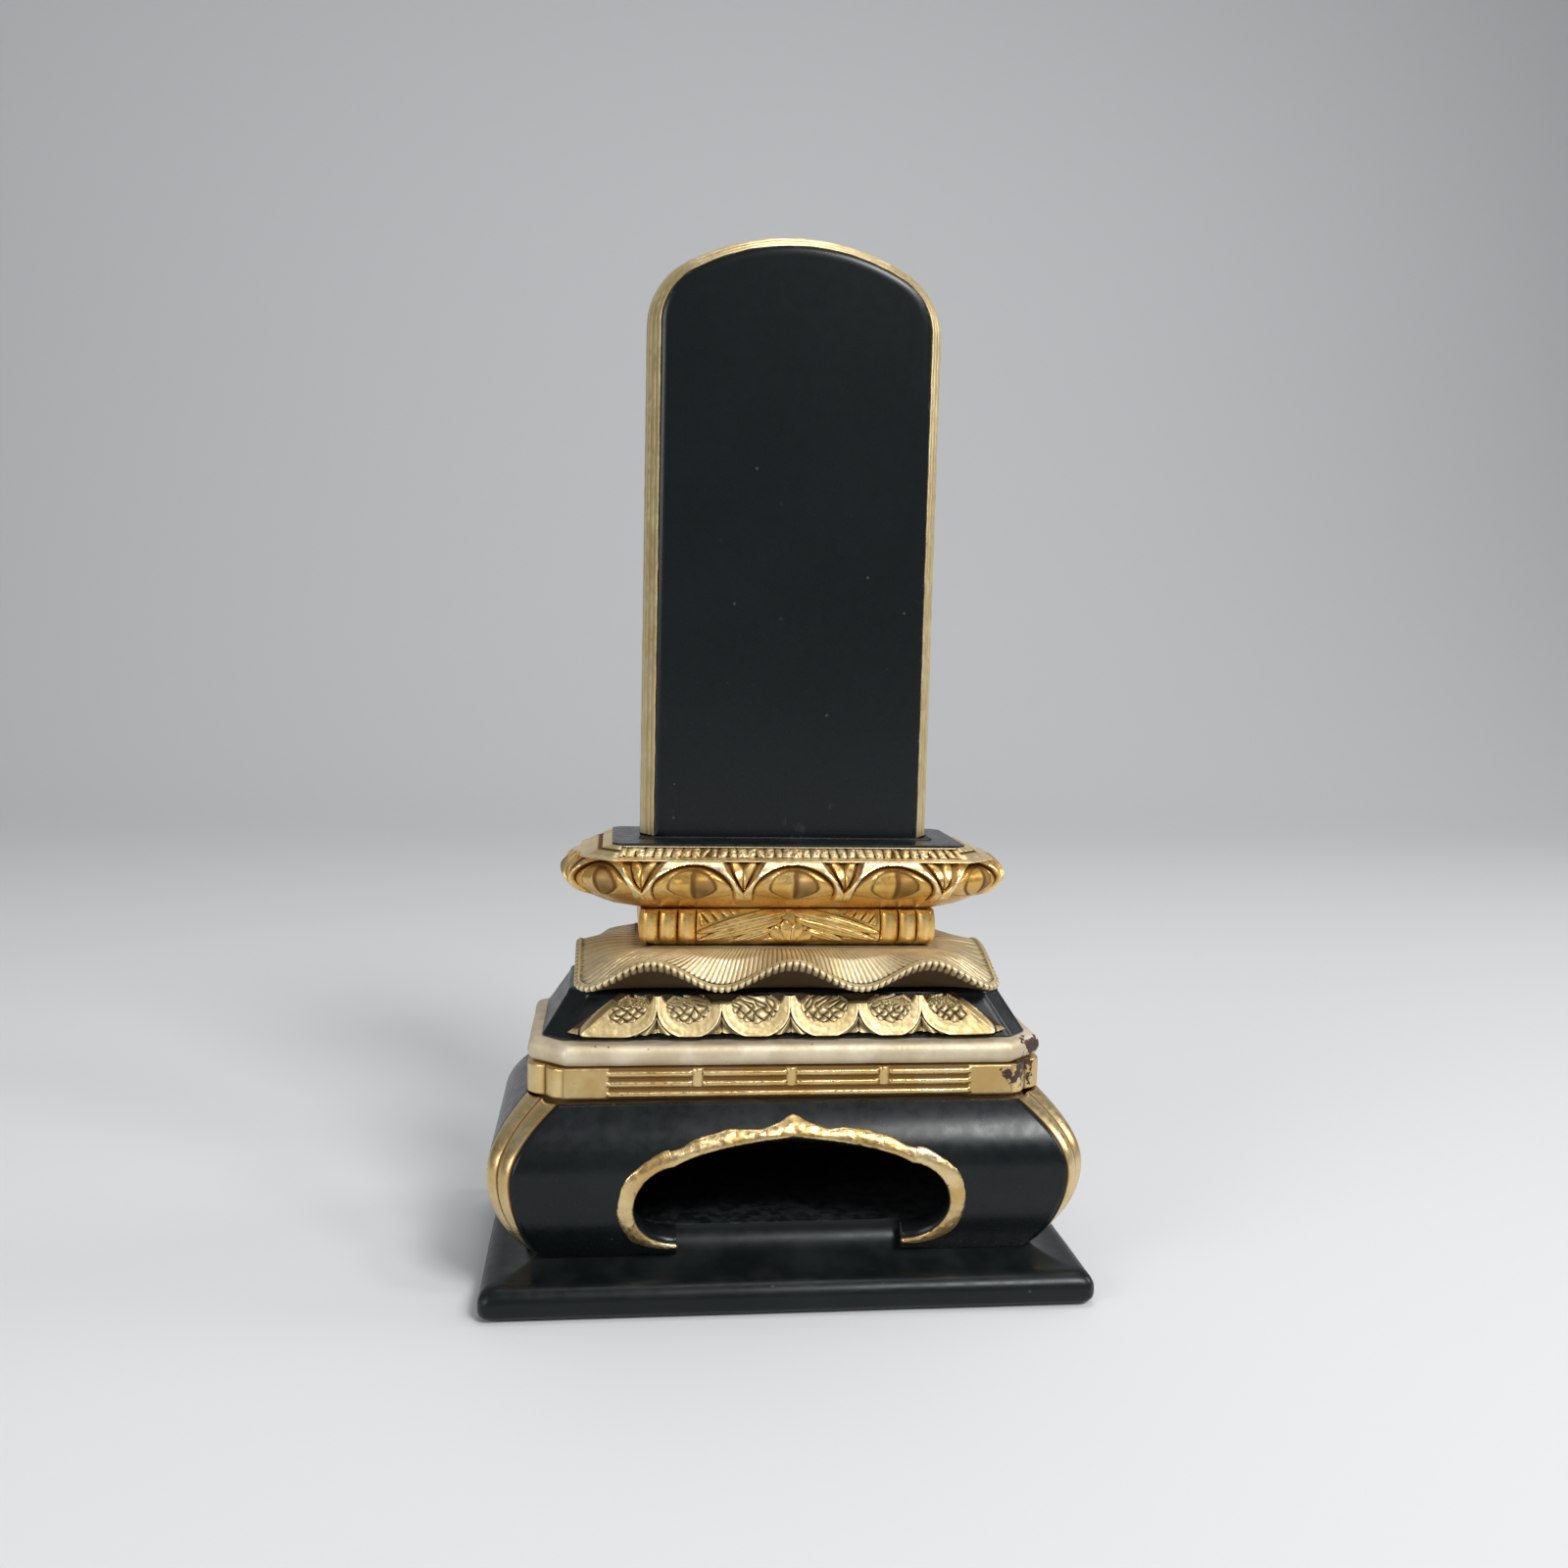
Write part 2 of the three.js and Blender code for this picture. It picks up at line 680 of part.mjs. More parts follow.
/** The neck block: a slight barrel with upright ribs at each end of front and back. */
function neckBlock() {
  const rings = [];
  for (let step = 0; step <= neckSteps; step++) {
    const share = step / neckSteps;
    const inset = neckSwell * (2 * share - 1) ** 2;
    const halfX = neckWidth / 2 - inset;
    const halfY = (neckDepth - ribRadius) / 2 - inset;
    rings.push(cantedRing(halfX, halfY, neckCorner, neckCorner, neckBottom + neckHeight * share));
  }
  const ribs = [];
  for (const sideX of [-1, 1]) {
    for (const sideY of [-1, 1]) {
      for (let rib = 0; rib < ribCount; rib++) {
        const x = sideX * (neckWidth / 2 - neckSwell - ribRadius - rib * ribPitch);
        const y = sideY * (neckDepth / 2 - ribRadius);
        ribs.push(rod(ribRadius, x, y, neckBottom + neckSwell, neckTop - neckSwell, ribSides));
      }
    }
  }
  const coreBores = dowelHoles(coreDowelSpacing, coreTop, neckBottom + dowelDepth);
  const neckBores = dowelHoles(neckDowelSpacing, neckTop - dowelDepth, lotusTop);
  return joined([loft(rings), ...ribs]).subtract(coreBores).subtract(neckBores);
}

// Upper lotus

/** The tablet's socket, cut through the cap and the band and into the lotus. */
function tabletSocket() {
  const halfX = tenonWidth / 2 + tenonSlip;
  const halfY = tenonThickness / 2 + tenonSlip;
  return block([-halfX, -halfY, tabletBottom - tenonLength - tenonSlip], [halfX, halfY, tabletBottom]);
}

/** Places of the petals round the lotus: a point on the face and the way it looks, in plan. */
function petalPlaces() {
  const halfX = lotusWidth / 2;
  const halfY = lotusDepth / 2;
  const cantAngle = Math.atan2(lotusCantWidth, lotusCantDepth);
  const places = [];
  for (const sideY of [-1, 1]) {
    for (const column of [-1, 0, 1]) {
      places.push({ x: column * petalPitch, y: sideY * halfY, angle: (sideY * Math.PI) / 2 });
    }
    for (const sideX of [-1, 1]) {
      const angle = sideX > 0 ? sideY * cantAngle : Math.PI - sideY * cantAngle;
      const x = sideX * (halfX - lotusCantWidth / 2);
      places.push({ x, y: sideY * (halfY - lotusCantDepth / 2), angle });
    }
  }
  for (const sideX of [-1, 1]) places.push({ x: sideX * halfX, y: 0, angle: sideX > 0 ? 0 : Math.PI });
  return places;
}

/** One petal's rounded body, standing out of the lotus by the petals' swell. */
function petalDome({ x, y, angle }) {
  const centre = [
    x - petalSwell * Math.cos(angle),
    y - petalSwell * Math.sin(angle),
    lotusBottom + petalCentre,
  ];
  return dome([petalSwell * 2, petalWidth / 2, petalHeight / 2], centre, angle);
}

/** How far the lotus stands in from its fullest line at a share of its height. */
function lotusInset(share) {
  if (share < lotusFullest) return lotusUndercut * ((lotusFullest - share) / lotusFullest) ** 2;
  return ((lotusWidth - seatWidth) / 2) * ((share - lotusFullest) / (1 - lotusFullest)) ** 2;
}

/** The block of upturned petals that carries the seat. */
function upperLotus() {
  const rings = [];
  for (let step = 0; step <= lotusSteps; step++) {
    const share = step / lotusSteps;
    const inset = lotusInset(share);
    const [cantX, cantY] = cantAfterInset(lotusCantWidth, lotusCantDepth, inset);
    const z = lotusBottom + lotusHeight * share;
    rings.push(cantedRing(lotusWidth / 2 - inset, lotusDepth / 2 - inset, cantX, cantY, z));
  }
  const slab = block([-far, -far, lotusBottom], [far, far, lotusTop]);
  const bores = dowelHoles(neckDowelSpacing, neckTop, lotusBottom + dowelDepth);
  const petals = petalPlaces().map(petalDome);
  return joined([loft(rings), ...petals]).intersect(slab).subtract(bores).subtract(tabletSocket());
}

/** The band of stamens: it rounds over from the lotus to the narrower cap. */
function stamenBand() {
  const rings = [];
  for (let step = 0; step <= stamenSteps; step++) {
    const share = step / stamenSteps;
    const between = (low, high) => low + (high - low) * share ** 2;
    const halfX = between(seatWidth, capWidth) / 2 - stamenRecess;
    const halfY = between(seatDepth, capDepth) / 2 - stamenRecess;
    const cantX = between(seatCantWidth, capCant);
    const cantY = between(seatCantDepth, capCant);
    rings.push(cantedRing(halfX, halfY, cantX, cantY, stamenBottom + stamenHeight * share));
  }
  return loft(rings).subtract(tabletSocket());
}

/** A ring of the cap's plan, drawn in by an inset. */
function capRing(inset, z) {
  return cantedRing(capWidth / 2 - inset, capDepth / 2 - inset, capCant, capCant, z);
}

/** The black cap, nearly flat, rising a little towards the tablet. */
function seatCap() {
  const edge = loft([capRing(0, capBottom), capRing(0, capBottom + capEdge)]);
  const crown = loft([capRing(0, capBottom + capEdge - halfGap), capRing(capCrownInset, capTop)]);
  return edge.add(crown).subtract(tabletSocket());
}

// Tablet

/** Outline of the tablet in X and Z, drawn in by an inset except at its foot. */
function tabletOutline(inset) {
  const halfX = tabletWidth / 2 - inset;
  const shoulder = shoulderRadius - inset;
  const crown = crownRadius - inset;
  const crownZ = tabletTop - crownRadius;
  const shoulderX = tabletWidth / 2 - shoulderRadius;
  const shoulderZ = crownZ + Math.sqrt((crownRadius - shoulderRadius) ** 2 - shoulderX ** 2);
  const meet = Math.atan2(shoulderZ - crownZ, shoulderX);
  const side = shoulderArcSteps;
  return [
    new THREE.Vector2(halfX, tabletBottom),
    ...arc(shoulderX, shoulderZ, shoulder, 0, meet, side).slice(0, -1),
    ...arc(0, crownZ, crown, meet, Math.PI - meet, crownArcSteps),
    ...arc(-shoulderX, shoulderZ, shoulder, Math.PI - meet, Math.PI, side).slice(1),
    new THREE.Vector2(-halfX, tabletBottom),
  ];
}

/** Cross-section of the tablet's edge: how far each Y stands in from the outermost line. */
function tabletEdge() {
  const front = edgeProfile.map(([inset, fromMiddle]) => ({ inset, y: -fromMiddle }));
  const back = front.toReversed().map(({ inset, y }) => ({ inset, y: -y }));
  return [...front, { inset: 0, y: 0 }, ...back];
}

/** The tablet with its tenon. */
function tablet() {
  const rings = tabletEdge().map(({ inset, y }) =>
    tabletOutline(inset).map((point) => new THREE.Vector3(point.x, y, point.y)).reverse(),
  );
  const board = loft(rings, fromBehind);
  const tenon = block(
    [-tenonWidth / 2, -tenonThickness / 2, tabletBottom - tenonLength],
    [tenonWidth / 2, tenonThickness / 2, tabletBottom + halfGap],
  );
  return board.add(tenon);
}

// Assembly

const object = new THREE.Group();

/** Add one named piece to the object. */
function add(name, solid, look) {
  const mesh = new THREE.Mesh(geometryOf(solid), new THREE.MeshStandardMaterial(look));
  mesh.name = name;
  object.add(mesh);
}

add("base_plate", basePlate(0), blackLacquer);

add("body_front_board", endBoard(-1).subtract(wallSolid(archOutline(), -far, 0)), blackLacquer);
add("body_back_board", endBoard(1), blackLacquer);
add("body_left_board", sideBoard(-1), blackLacquer);
add("body_right_board", sideBoard(1), blackLacquer);
for (const [endName, sideY] of [["front", -1], ["back", 1]]) {
  for (const [sideName, sideX] of [["left", -1], ["right", 1]]) {
    add(`corner_post_${endName}_${sideName}`, cornerPost(sideX, sideY), goldLeaf);
    add(`glue_block_${endName}_${sideName}`, glueBlock(sideX, sideY), bareWood);
  }
}
add("body_deck", bodyDeck(), bareWood);

for (const [sideName, side] of [["left", -1], ["right", 1]]) {
  for (const [tier, spacing, bottom, top] of [
    ["step", stepDowelSpacing, deckBottom, coreBottom + dowelDepth],
    ["core", coreDowelSpacing, coreTop - dowelDepth, neckBottom + dowelDepth],
    ["neck", neckDowelSpacing, neckTop - dowelDepth, lotusBottom + dowelDepth],
  ]) {
    const dowel = rod(dowelDiameter / 2, (side * spacing) / 2, 0, bottom, top);
    add(`${tier}_dowel_${sideName}`, dowel, bareWood);
  }
}

add("step_band", stepBand(), goldLeaf);
add("step_moulding", stepMoulding(), paleGold);

add("lotus_core", lotusCore(), blackLacquer);
add("lower_lotus_panel", lowerLotusPanel(), goldLeaf);
add("leaf_plate", leafPlate(), paleGold);

add("neck_block", neckBlock(), goldLeaf);
add("upper_lotus", upperLotus(), goldLeaf);
add("stamen_band", stamenBand(), goldLeaf);
add("seat_cap", seatCap(), blackLacquer);
add("tablet", tablet(), blackLacquer);

export default object;
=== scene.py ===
"""Looks for a lacquered and gilt memorial tablet on its tiered lotus stand.

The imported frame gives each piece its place. Lengths in the classes are millimetres, in the
frame's own axes: +Z up, the tablet's face towards -Y. A height called "rise" is measured from
the foot of the piece that it belongs to.
"""

import logging
import math
from bisect import bisect_right
from collections.abc import Callable, Sequence
from dataclasses import dataclass, field
from enum import Enum

import bmesh
import bpy
from mathutils import Matrix, Vector, noise


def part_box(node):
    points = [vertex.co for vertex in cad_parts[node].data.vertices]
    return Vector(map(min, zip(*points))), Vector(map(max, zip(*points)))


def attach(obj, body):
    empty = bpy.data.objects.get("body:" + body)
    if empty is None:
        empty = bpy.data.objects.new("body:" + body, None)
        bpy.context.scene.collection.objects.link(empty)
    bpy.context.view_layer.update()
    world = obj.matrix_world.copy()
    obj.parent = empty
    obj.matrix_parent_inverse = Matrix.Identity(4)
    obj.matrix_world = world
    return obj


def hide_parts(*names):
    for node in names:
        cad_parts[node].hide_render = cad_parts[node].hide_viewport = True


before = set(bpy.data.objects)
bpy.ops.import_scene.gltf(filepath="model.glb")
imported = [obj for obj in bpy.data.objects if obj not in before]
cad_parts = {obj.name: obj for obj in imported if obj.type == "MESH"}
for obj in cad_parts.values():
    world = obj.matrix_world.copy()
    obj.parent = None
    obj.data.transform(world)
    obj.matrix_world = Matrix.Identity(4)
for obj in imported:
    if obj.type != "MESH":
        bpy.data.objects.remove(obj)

MM = 0.001
STAND = "stand"
TABLET = "tablet"
SEWN_WITHIN = 0.002
BEND_GAIN = 4.0
BEND_PASSES = 2

Spot = tuple[Vector, float]
# A relief in millimetres, and a tone that paints shade when low and highlights when high.
Relief = tuple[float, float]
Place = Callable[[float, float], Spot]
Carve = Callable[[float, float, float], Relief]
Colour = tuple[float, float, float, float]
BMesh = bmesh.types.BMesh
Material = bpy.types.Material
Wire = bpy.types.NodeSocket

log = logging.getLogger("memorial_tablet")


class Slot(Enum):
    """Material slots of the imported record."""

    BLACK = "black_lacquer"
    GOLD = "gold_leaf"
    PALE = "pale_gold"
    WOOD = "bare_wood"


# Small sums


def mix(low: float, high: float, share: float) -> float:
    """Return the value a share of the way from low to high."""
    return low + (high - low) * share


def ease(low: float, high: float, value: float) -> float:
    """Return 0 below low, 1 above high and a soft step between them."""
    share = min(1.0, max(0.0, (value - low) / (high - low)))
    return share * share * (3 - 2 * share)


def round_over(value: float) -> float:
    """Return the height of a half circle of radius 1 at a distance from its middle."""
    return math.sqrt(max(0.0, 1 - value * value))


def peak(value: float, middle: float, width: float) -> float:
    """Return 1 at the middle, dying out softly over the width on both sides."""
    return math.exp(-(((value - middle) / width) ** 2))


def rough(x: float, y: float, z: float, size: float) -> float:
    """Return soft noise from -1 to 1 whose lumps have the given size in millimetres."""
    return noise.noise(Vector((x, y, z)) / size)


def span(node: str) -> tuple[Vector, Vector]:
    """Return a CAD node's lowest and highest corner in millimetres."""
    low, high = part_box(node)
    return low / MM, high / MM


# Outlines and sections


class Run:
    """One straight or round stretch of an outline."""

    def __init__(self, start: Vector, end: Vector, centre: Vector | None = None) -> None:
        """Keep the ends, and the centre if the stretch is round.

        Args:
            start: First point.
            end: Last point, to the left of a round stretch's start.
            centre: Centre of a round stretch.
        """
        self.start = start
        self.end = end
        self.centre = centre
        self.length = (end - start).length
        if centre is not None:
            self.first = start - centre
            self.turn = -self.first.angle_signed(end - centre, 0.0)
            self.length = abs(self.turn) * self.first.length

    def at(self, share: float) -> tuple[Vector, Vector]:
        """Return the point at a share of the stretch, and the way it faces."""
        if self.centre is None:
            along = (self.end - self.start).normalized()
            return self.start.lerp(self.end, share), Vector((along.y, -along.x))
        spoke = Matrix.Rotation(self.turn * share, 2) @ self.first
        return self.centre + spoke, spoke.normalized()


class Outline:
    """A rounded polygon in plan, run anticlockwise from the middle of its back."""

    def __init__(
        self,
        half_x: float,
        half_y: float,
        cant_x: float = 0.0,
        cant_y: float = 0.0,
        radius: float = 0.4,
        like: "Outline | None" = None,
    ) -> None:
        """Lay out a rectangle with canted or square corners.

        Args:
            half_x: Half the width.
            half_y: Half the depth.
            cant_x: How much of the width each cant takes, 0 for a square corner.
            cant_y: How much of the depth each cant takes.
            radius: Rounding of every corner.
            like: Outline whose shares this one follows, so that the two can be lofted.
        """
        self.half_x = half_x
        self.half_y = half_y
        self.cant_x = cant_x
        self.cant_y = cant_y
        self.radius = radius
        left = [(-half_x + cant_x, half_y), (-half_x, half_y - cant_y)]
        left += [(-half_x, -half_y + cant_y), (-half_x + cant_x, -half_y)]
        if cant_x == 0:
            left = left[::2]
        right = [(-x, y) for x, y in reversed(left)]
        corners = [Vector(corner) for corner in [(0, half_y), *left, *right]]
        self.runs = self._runs(corners, radius)
        self.length = sum(run.length for run in self.runs)
        if like is None:
            self.shares = [0.0]
            for run in self.runs:
                self.shares.append(self.shares[-1] + run.length / self.length)
        else:
            self.shares = like.shares
        self.known: dict[float, tuple[Vector, Vector]] = {}

    @staticmethod
    def _runs(corners: list[Vector], radius: float) -> list[Run]:
        """Return the straight and round stretches through some corners."""
        bends = []
        for before, corner, after in zip(corners[-1:] + corners, corners, corners[1:] + corners[:1]):
            coming = (corner - before).normalized()
            going = (after - corner).normalized()
            turn = abs(coming.angle_signed(going, 0.0))
            cut = radius * math.tan(turn / 2)
            start = corner - coming * cut
            centre = start + Vector((-coming.y, coming.x)) * radius
            bends.append(Run(start, corner + going * cut, centre))
        runs = []
        for bend, after in zip(bends, bends[1:] + bends[:1]):
            runs += [bend, Run(bend.end, after.start)]
        return runs

    def inset(self, distance: float) -> "Outline":
        """Return this outline drawn in evenly by a distance."""
        cant_x, cant_y = self.cant_x, self.cant_y
        if cant_x > 0:
            length = math.hypot(cant_x, cant_y)
            normal_x, normal_y = cant_y / length, cant_x / length
            cant_x -= distance * (1 - (1 - normal_y) / normal_x)
            cant_y -= distance * (1 - (1 - normal_x) / normal_y)
        half_x, half_y = self.half_x - distance, self.half_y - distance
        return Outline(half_x, half_y, cant_x, cant_y, self.radius, self)

    def at(self, share: float) -> tuple[Vector, Vector]:
        """Return the point at a share of the way round, and the way it faces."""
        if share not in self.known:
            index = min(bisect_right(self.shares, share) - 1, len(self.runs) - 1)
            low, high = self.shares[index], self.shares[index + 1]
            part = (share - low) / (high - low) if high > low else 0.0
            self.known[share] = self.runs[index].at(part)
        return self.known[share]

    def reed(self, x: float) -> float:
        """Return the height, up to 1, of two round reeds on each cant at a place."""
        across = min(1.0, max(0.0, (abs(x) - self.half_x + self.cant_x) / self.cant_x))
        return abs(math.sin(2 * math.pi * across))


class Section:
    """A line through a few points, read by the share of its length."""

    def __init__(self, points: Sequence[tuple[float, float]]) -> None:
        """Keep the points and how far along each of them is."""
        self.points = [Vector(point) for point in points]
        self.marks = [0.0]
        for before, after in zip(self.points, self.points[1:]):
            self.marks.append(self.marks[-1] + (after - before).length)

    def at(self, share: float) -> Vector:
        """Return the point at a share of the length."""
        place = share * self.marks[-1]
        index = min(bisect_right(self.marks, place) - 1, len(self.points) - 2)
        low, high = self.marks[index], self.marks[index + 1]
        return self.points[index].lerp(self.points[index + 1], (place - low) / (high - low))


def sweep(
    centre: tuple[float, float], radii: tuple[float, float], start: float, end: float, steps: int = 8
) -> list[tuple[float, float]]:
    """Return points along part of an ellipse.

    Args:
        centre: Centre of the ellipse.
        radii: Its two radii.
        start: First angle in degrees.
        end: Last angle in degrees.
        steps: Number of steps.

    Returns:
        The points, both ends among them.
    """
    angles = [math.radians(mix(start, end, step / steps)) for step in range(steps + 1)]
    return [(centre[0] + radii[0] * math.cos(a), centre[1] + radii[1] * math.sin(a)) for a in angles]


# Meshes


def carved(columns: int, rows: int, place: Place) -> BMesh:
    """Bend a grid into a carved surface.

    Args:
        columns: Steps along the grid, anticlockwise as seen from above.
        rows: Steps across the grid, upwards.
        place: Gives a point in millimetres and a tone for two shares. The tone paints light: it
        runs from -1 for the deepest painted shade to 1 for a painted highlight on a crest.

    Returns:
        The surface, with its painted-light tone in the vertex layer "relief".
    """
    mesh = bmesh.new()
    bmesh.ops.create_grid(mesh, x_segments=columns, y_segments=rows, size=0.5)
    # The layer called relief holds painted shade and painted highlights, not a height.
    relief = mesh.verts.layers.float.new("relief")
    for vert in mesh.verts:
        point, tone = place(round(vert.co.x + 0.5, 6), round(vert.co.y + 0.5, 6))
        vert.co = point * MM
        vert[relief] = tone
    return mesh


def shell(columns: int, rows: int, place: Place) -> BMesh:
    """Return a carved surface sewn into a ring, with its ends filled and its faces outwards."""
    mesh = carved(columns, rows, place)
    bmesh.ops.remove_doubles(mesh, verts=mesh.verts, dist=SEWN_WITHIN * MM)
    ends = [edge for edge in mesh.edges if edge.is_boundary]
    bmesh.ops.holes_fill(mesh, edges=ends, sides=0)
    bmesh.ops.recalc_face_normals(mesh, faces=mesh.faces)
    return mesh


def tier(outer: Outline, inner: Outline, section: Section, carve: Carve) -> Place:
    """Return the surface of a tier between two outlines.

    Args:
        outer: Outline where the section's first value is 0.
        inner: Outline where the section's first value is 1.
        section: Line through (share towards the inner outline, height).
        carve: Gives the relief in millimetres and the painted-light tone for a place along the
        front, a height and X.
    """

    def place(along: float, up: float) -> Spot:
        (start, facing), (end, _) = outer.at(along), inner.at(along)
        share, height = section.at(up)
        relief, tone = carve((along - 0.5) * outer.length, height, start.x)
        flat = start.lerp(end, share) + facing * relief
        return Vector((*flat, height)), tone

    return place


def mark_wear(mesh: BMesh) -> None:
    """Store how far each vertex stands out ("ridge") or lies in a hollow ("hollow")."""
    ridge = mesh.verts.layers.float.new("ridge")
    hollow = mesh.verts.layers.float.new("hollow")
    mesh.normal_update()
    bends = {}
    for vert in mesh.verts:
        inner = [edge for edge in vert.link_edges if len(edge.link_faces) == 2]
        ways = [edge.other_vert(vert).co - vert.co for edge in inner]
        lean = [vert.normal.dot(way) / max(way.length, 1e-9) for way in ways]
        bends[vert] = sum(lean) / len(lean) if lean else 0.0
    for _ in range(BEND_PASSES):
        near = {}
        for vert, bend in bends.items():
            around = [bends[edge.other_vert(vert)] for edge in vert.link_edges]
            near[vert] = (bend * 2 + sum(around)) / (2 + len(around))
        bends = near
    for vert, bend in bends.items():
        vert[ridge] = min(1.0, max(0.0, -bend * BEND_GAIN))
        vert[hollow] = min(1.0, max(0.0, bend * BEND_GAIN))


def put_in_scene(name: str, mesh: BMesh, look: Material) -> bpy.types.Object:
    """Turn a mesh, which is used up, into a smooth object in the scene."""
    data = bpy.data.meshes.new(name)
    mesh.to_mesh(data)
    mesh.free()
    data.polygons.foreach_set("use_smooth", [True] * len(data.polygons))
    data.materials.append(look)
    made = bpy.data.objects.new(name, data)
    bpy.context.scene.collection.objects.link(made)
    return made


def make_piece(
    name: str,
    mesh: BMesh,
    look: Material,
    stands_for: Sequence[str] = (),
    body: str = STAND,
    crease: float = 50.0,
    wall: float = 0.0,
) -> None:
    """Turn a mesh into a dressed piece that rides on its body.

    Args:
        name: Name of the piece.
        mesh: Finished mesh, which is used up.
        look: Material.
        stands_for: CAD nodes that the piece replaces.
        body: CAD body that carries it.
        crease: Angle in degrees past which an edge stays sharp.
        wall: Thickness in millimetres that an open surface gets inwards.
    """
    mark_wear(mesh)
    made = put_in_scene(name, mesh, look)
    made.data.set_sharp_from_angle(angle=math.radians(crease))
    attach(made, body)
    if stands_for:
        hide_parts(*stands_for)
    if wall:
        board = made.modifiers.new("wall", "SOLIDIFY")
        board.thickness = wall * MM
        board.offset = -1
    log.info("%s: %d vertices", name, len(made.data.vertices))


# Materials


class Desk:
    """Adds nodes to one tree and links them."""

    def __init__(self, tree: bpy.types.NodeTree) -> None:
        """Take the tree that the nodes go into."""
        self.tree = tree

    def plug(self, node: bpy.types.Node, sockets: dict[str | int, object]) -> None:
        """Feed a node's inputs, by name or number, from values or from other sockets."""
        for key, value in sockets.items():
            if isinstance(value, Wire):
                self.tree.links.new(value, node.inputs[key])
            else:
                node.inputs[key].default_value = value

    def add(
        self, kind: str, sockets: dict[str | int, object] | None = None, **settings: object
    ) -> bpy.types.Node:
        """Add a node.

        Args:
            kind: Blender's name for the kind of node.
            sockets: A value or another node's socket for each input, by name or number.
            **settings: The node's own settings.

        Returns:
            The node.
        """
        node = self.tree.nodes.new(kind)
        for name, value in settings.items():
            setattr(node, name, value)
        self.plug(node, sockets or {})
        return node

    def noise(self, where: Wire, scale: float | Wire, detail: float) -> Wire:
        """Return soft noise, with the scale in lumps per metre."""
        sockets = {"Vector": where, "Scale": scale, "Detail": detail}
        return self.add("ShaderNodeTexNoise", sockets).outputs[0]

    def sums(self, kind: str, *values: float | Wire) -> Wire:
        """Return the result of one Math node."""
        return self.add("ShaderNodeMath", dict(enumerate(values)), operation=kind).outputs[0]

    def remap(self, value: Wire, low: float, high: float, start: float = 0.0, end: float = 1.0) -> Wire:
        """Return a soft step of a value from one range to another."""
        sockets = {"Value": value, "From Min": low, "From Max": high, "To Min": start, "To Max": end}
        return self.add("ShaderNodeMapRange", sockets, interpolation_type="SMOOTHSTEP").outputs[0]

    def tint(self, mask: Wire, low: Colour | Wire, high: Colour | Wire) -> Wire:
        """Return one colour over another, by a mask."""
        return self.add("ShaderNodeMix", {0: mask, 6: low, 7: high}, data_type="RGBA").outputs[2]

    def layer(self, name: str) -> Wire:
        """Return a value stored on the piece's own vertices."""
        return self.add("ShaderNodeAttribute", attribute_name=name).outputs["Fac"]

    def group(self, tree: bpy.types.NodeTree, **sockets: float | Wire) -> bpy.types.Node:
        """Add a shared group."""
        return self.add("ShaderNodeGroup", sockets, node_tree=tree)

    def bump(self, strength: float, distance: float, height: Wire) -> Wire:
        """Return a normal that a height bends, with the distance in metres."""
        sockets = {"Strength": strength, "Distance": distance, "Height": height}
        return self.add("ShaderNodeBump", sockets).outputs[0]


def make_group(
    name: str, inputs: Sequence[str], outputs: Sequence[str]
) -> tuple[Desk, bpy.types.Node, bpy.types.Node]:
    """Start a shader node group on coordinates, called "Where", and some numbers.

    Args:
        name: Name of the group.
        inputs: Names of the numbers that it takes.
        outputs: Names of the masks that it puts out.

    Returns:
        A desk on the group, and its input and output nodes.
    """
    tree = bpy.data.node_groups.new(name, "ShaderNodeTree")
    tree.interface.new_socket(name="Where", in_out="INPUT", socket_type="NodeSocketVector")
    for way, titles in (("INPUT", inputs), ("OUTPUT", outputs)):
        for title in titles:
            tree.interface.new_socket(name=title, in_out=way, socket_type="NodeSocketFloat")
    desk = Desk(tree)
    return desk, desk.add("NodeGroupInput"), desk.add("NodeGroupOutput")


def wear_group() -> bpy.types.NodeTree:
    """Build the group that turns ridges into rubbed places and makes the hollows darker."""
    desk, given, out = make_group(
        "rubbed edges", ("Ridge", "Hollow", "Size", "Amount"), ("Worn", "Dark hollows")
    )
    patches = desk.noise(given.outputs["Where"], given.outputs["Size"], 6.0)
    reach = desk.sums("MULTIPLY", given.outputs["Ridge"], given.outputs["Amount"])
    worn = desk.remap(desk.sums("ADD", reach, patches), 0.72, 0.9)
    # Darker in the hollows, in patches.
    dark_hollows = desk.sums("MULTIPLY", given.outputs["Hollow"], desk.remap(patches, 0.2, 0.7, 0.55, 1.0))
    desk.plug(out, {"Worn": worn, "Dark hollows": desk.remap(dark_hollows, 0.02, 0.5)})
    return desk.tree


def dust_group() -> bpy.types.NodeTree:
    """Build the group that scatters specks, and a film of dust on what faces up."""
    desk, given, out = make_group("dust and specks", ("Specks", "Film"), ("Mask",))
    dots = desk.add("ShaderNodeTexVoronoi", {"Vector": given.outputs["Where"], "Scale": 260.0})
    chance = desk.add("ShaderNodeSeparateColor", {0: dots.outputs["Color"]}).outputs[0]
    size = desk.sums("MULTIPLY", desk.remap(chance, 0.72, 1.0, 0.0, 0.11), given.outputs["Specks"])
    speck = desk.sums("LESS_THAN", dots.outputs["Distance"], size)
    facing = desk.add("ShaderNodeNewGeometry").outputs["Normal"]
    up = desk.remap(desk.add("ShaderNodeSeparateXYZ", {0: facing}).outputs[2], 0.2, 0.95)
    cloud = desk.remap(desk.noise(given.outputs["Where"], 140.0, 6.0), 0.35, 0.7)
    film = desk.sums("MULTIPLY", desk.sums("MULTIPLY", up, cloud), given.outputs["Film"])
    desk.plug(out, {"Mask": desk.sums("MAXIMUM", desk.sums("MULTIPLY", speck, 0.25), film)})
    return desk.tree


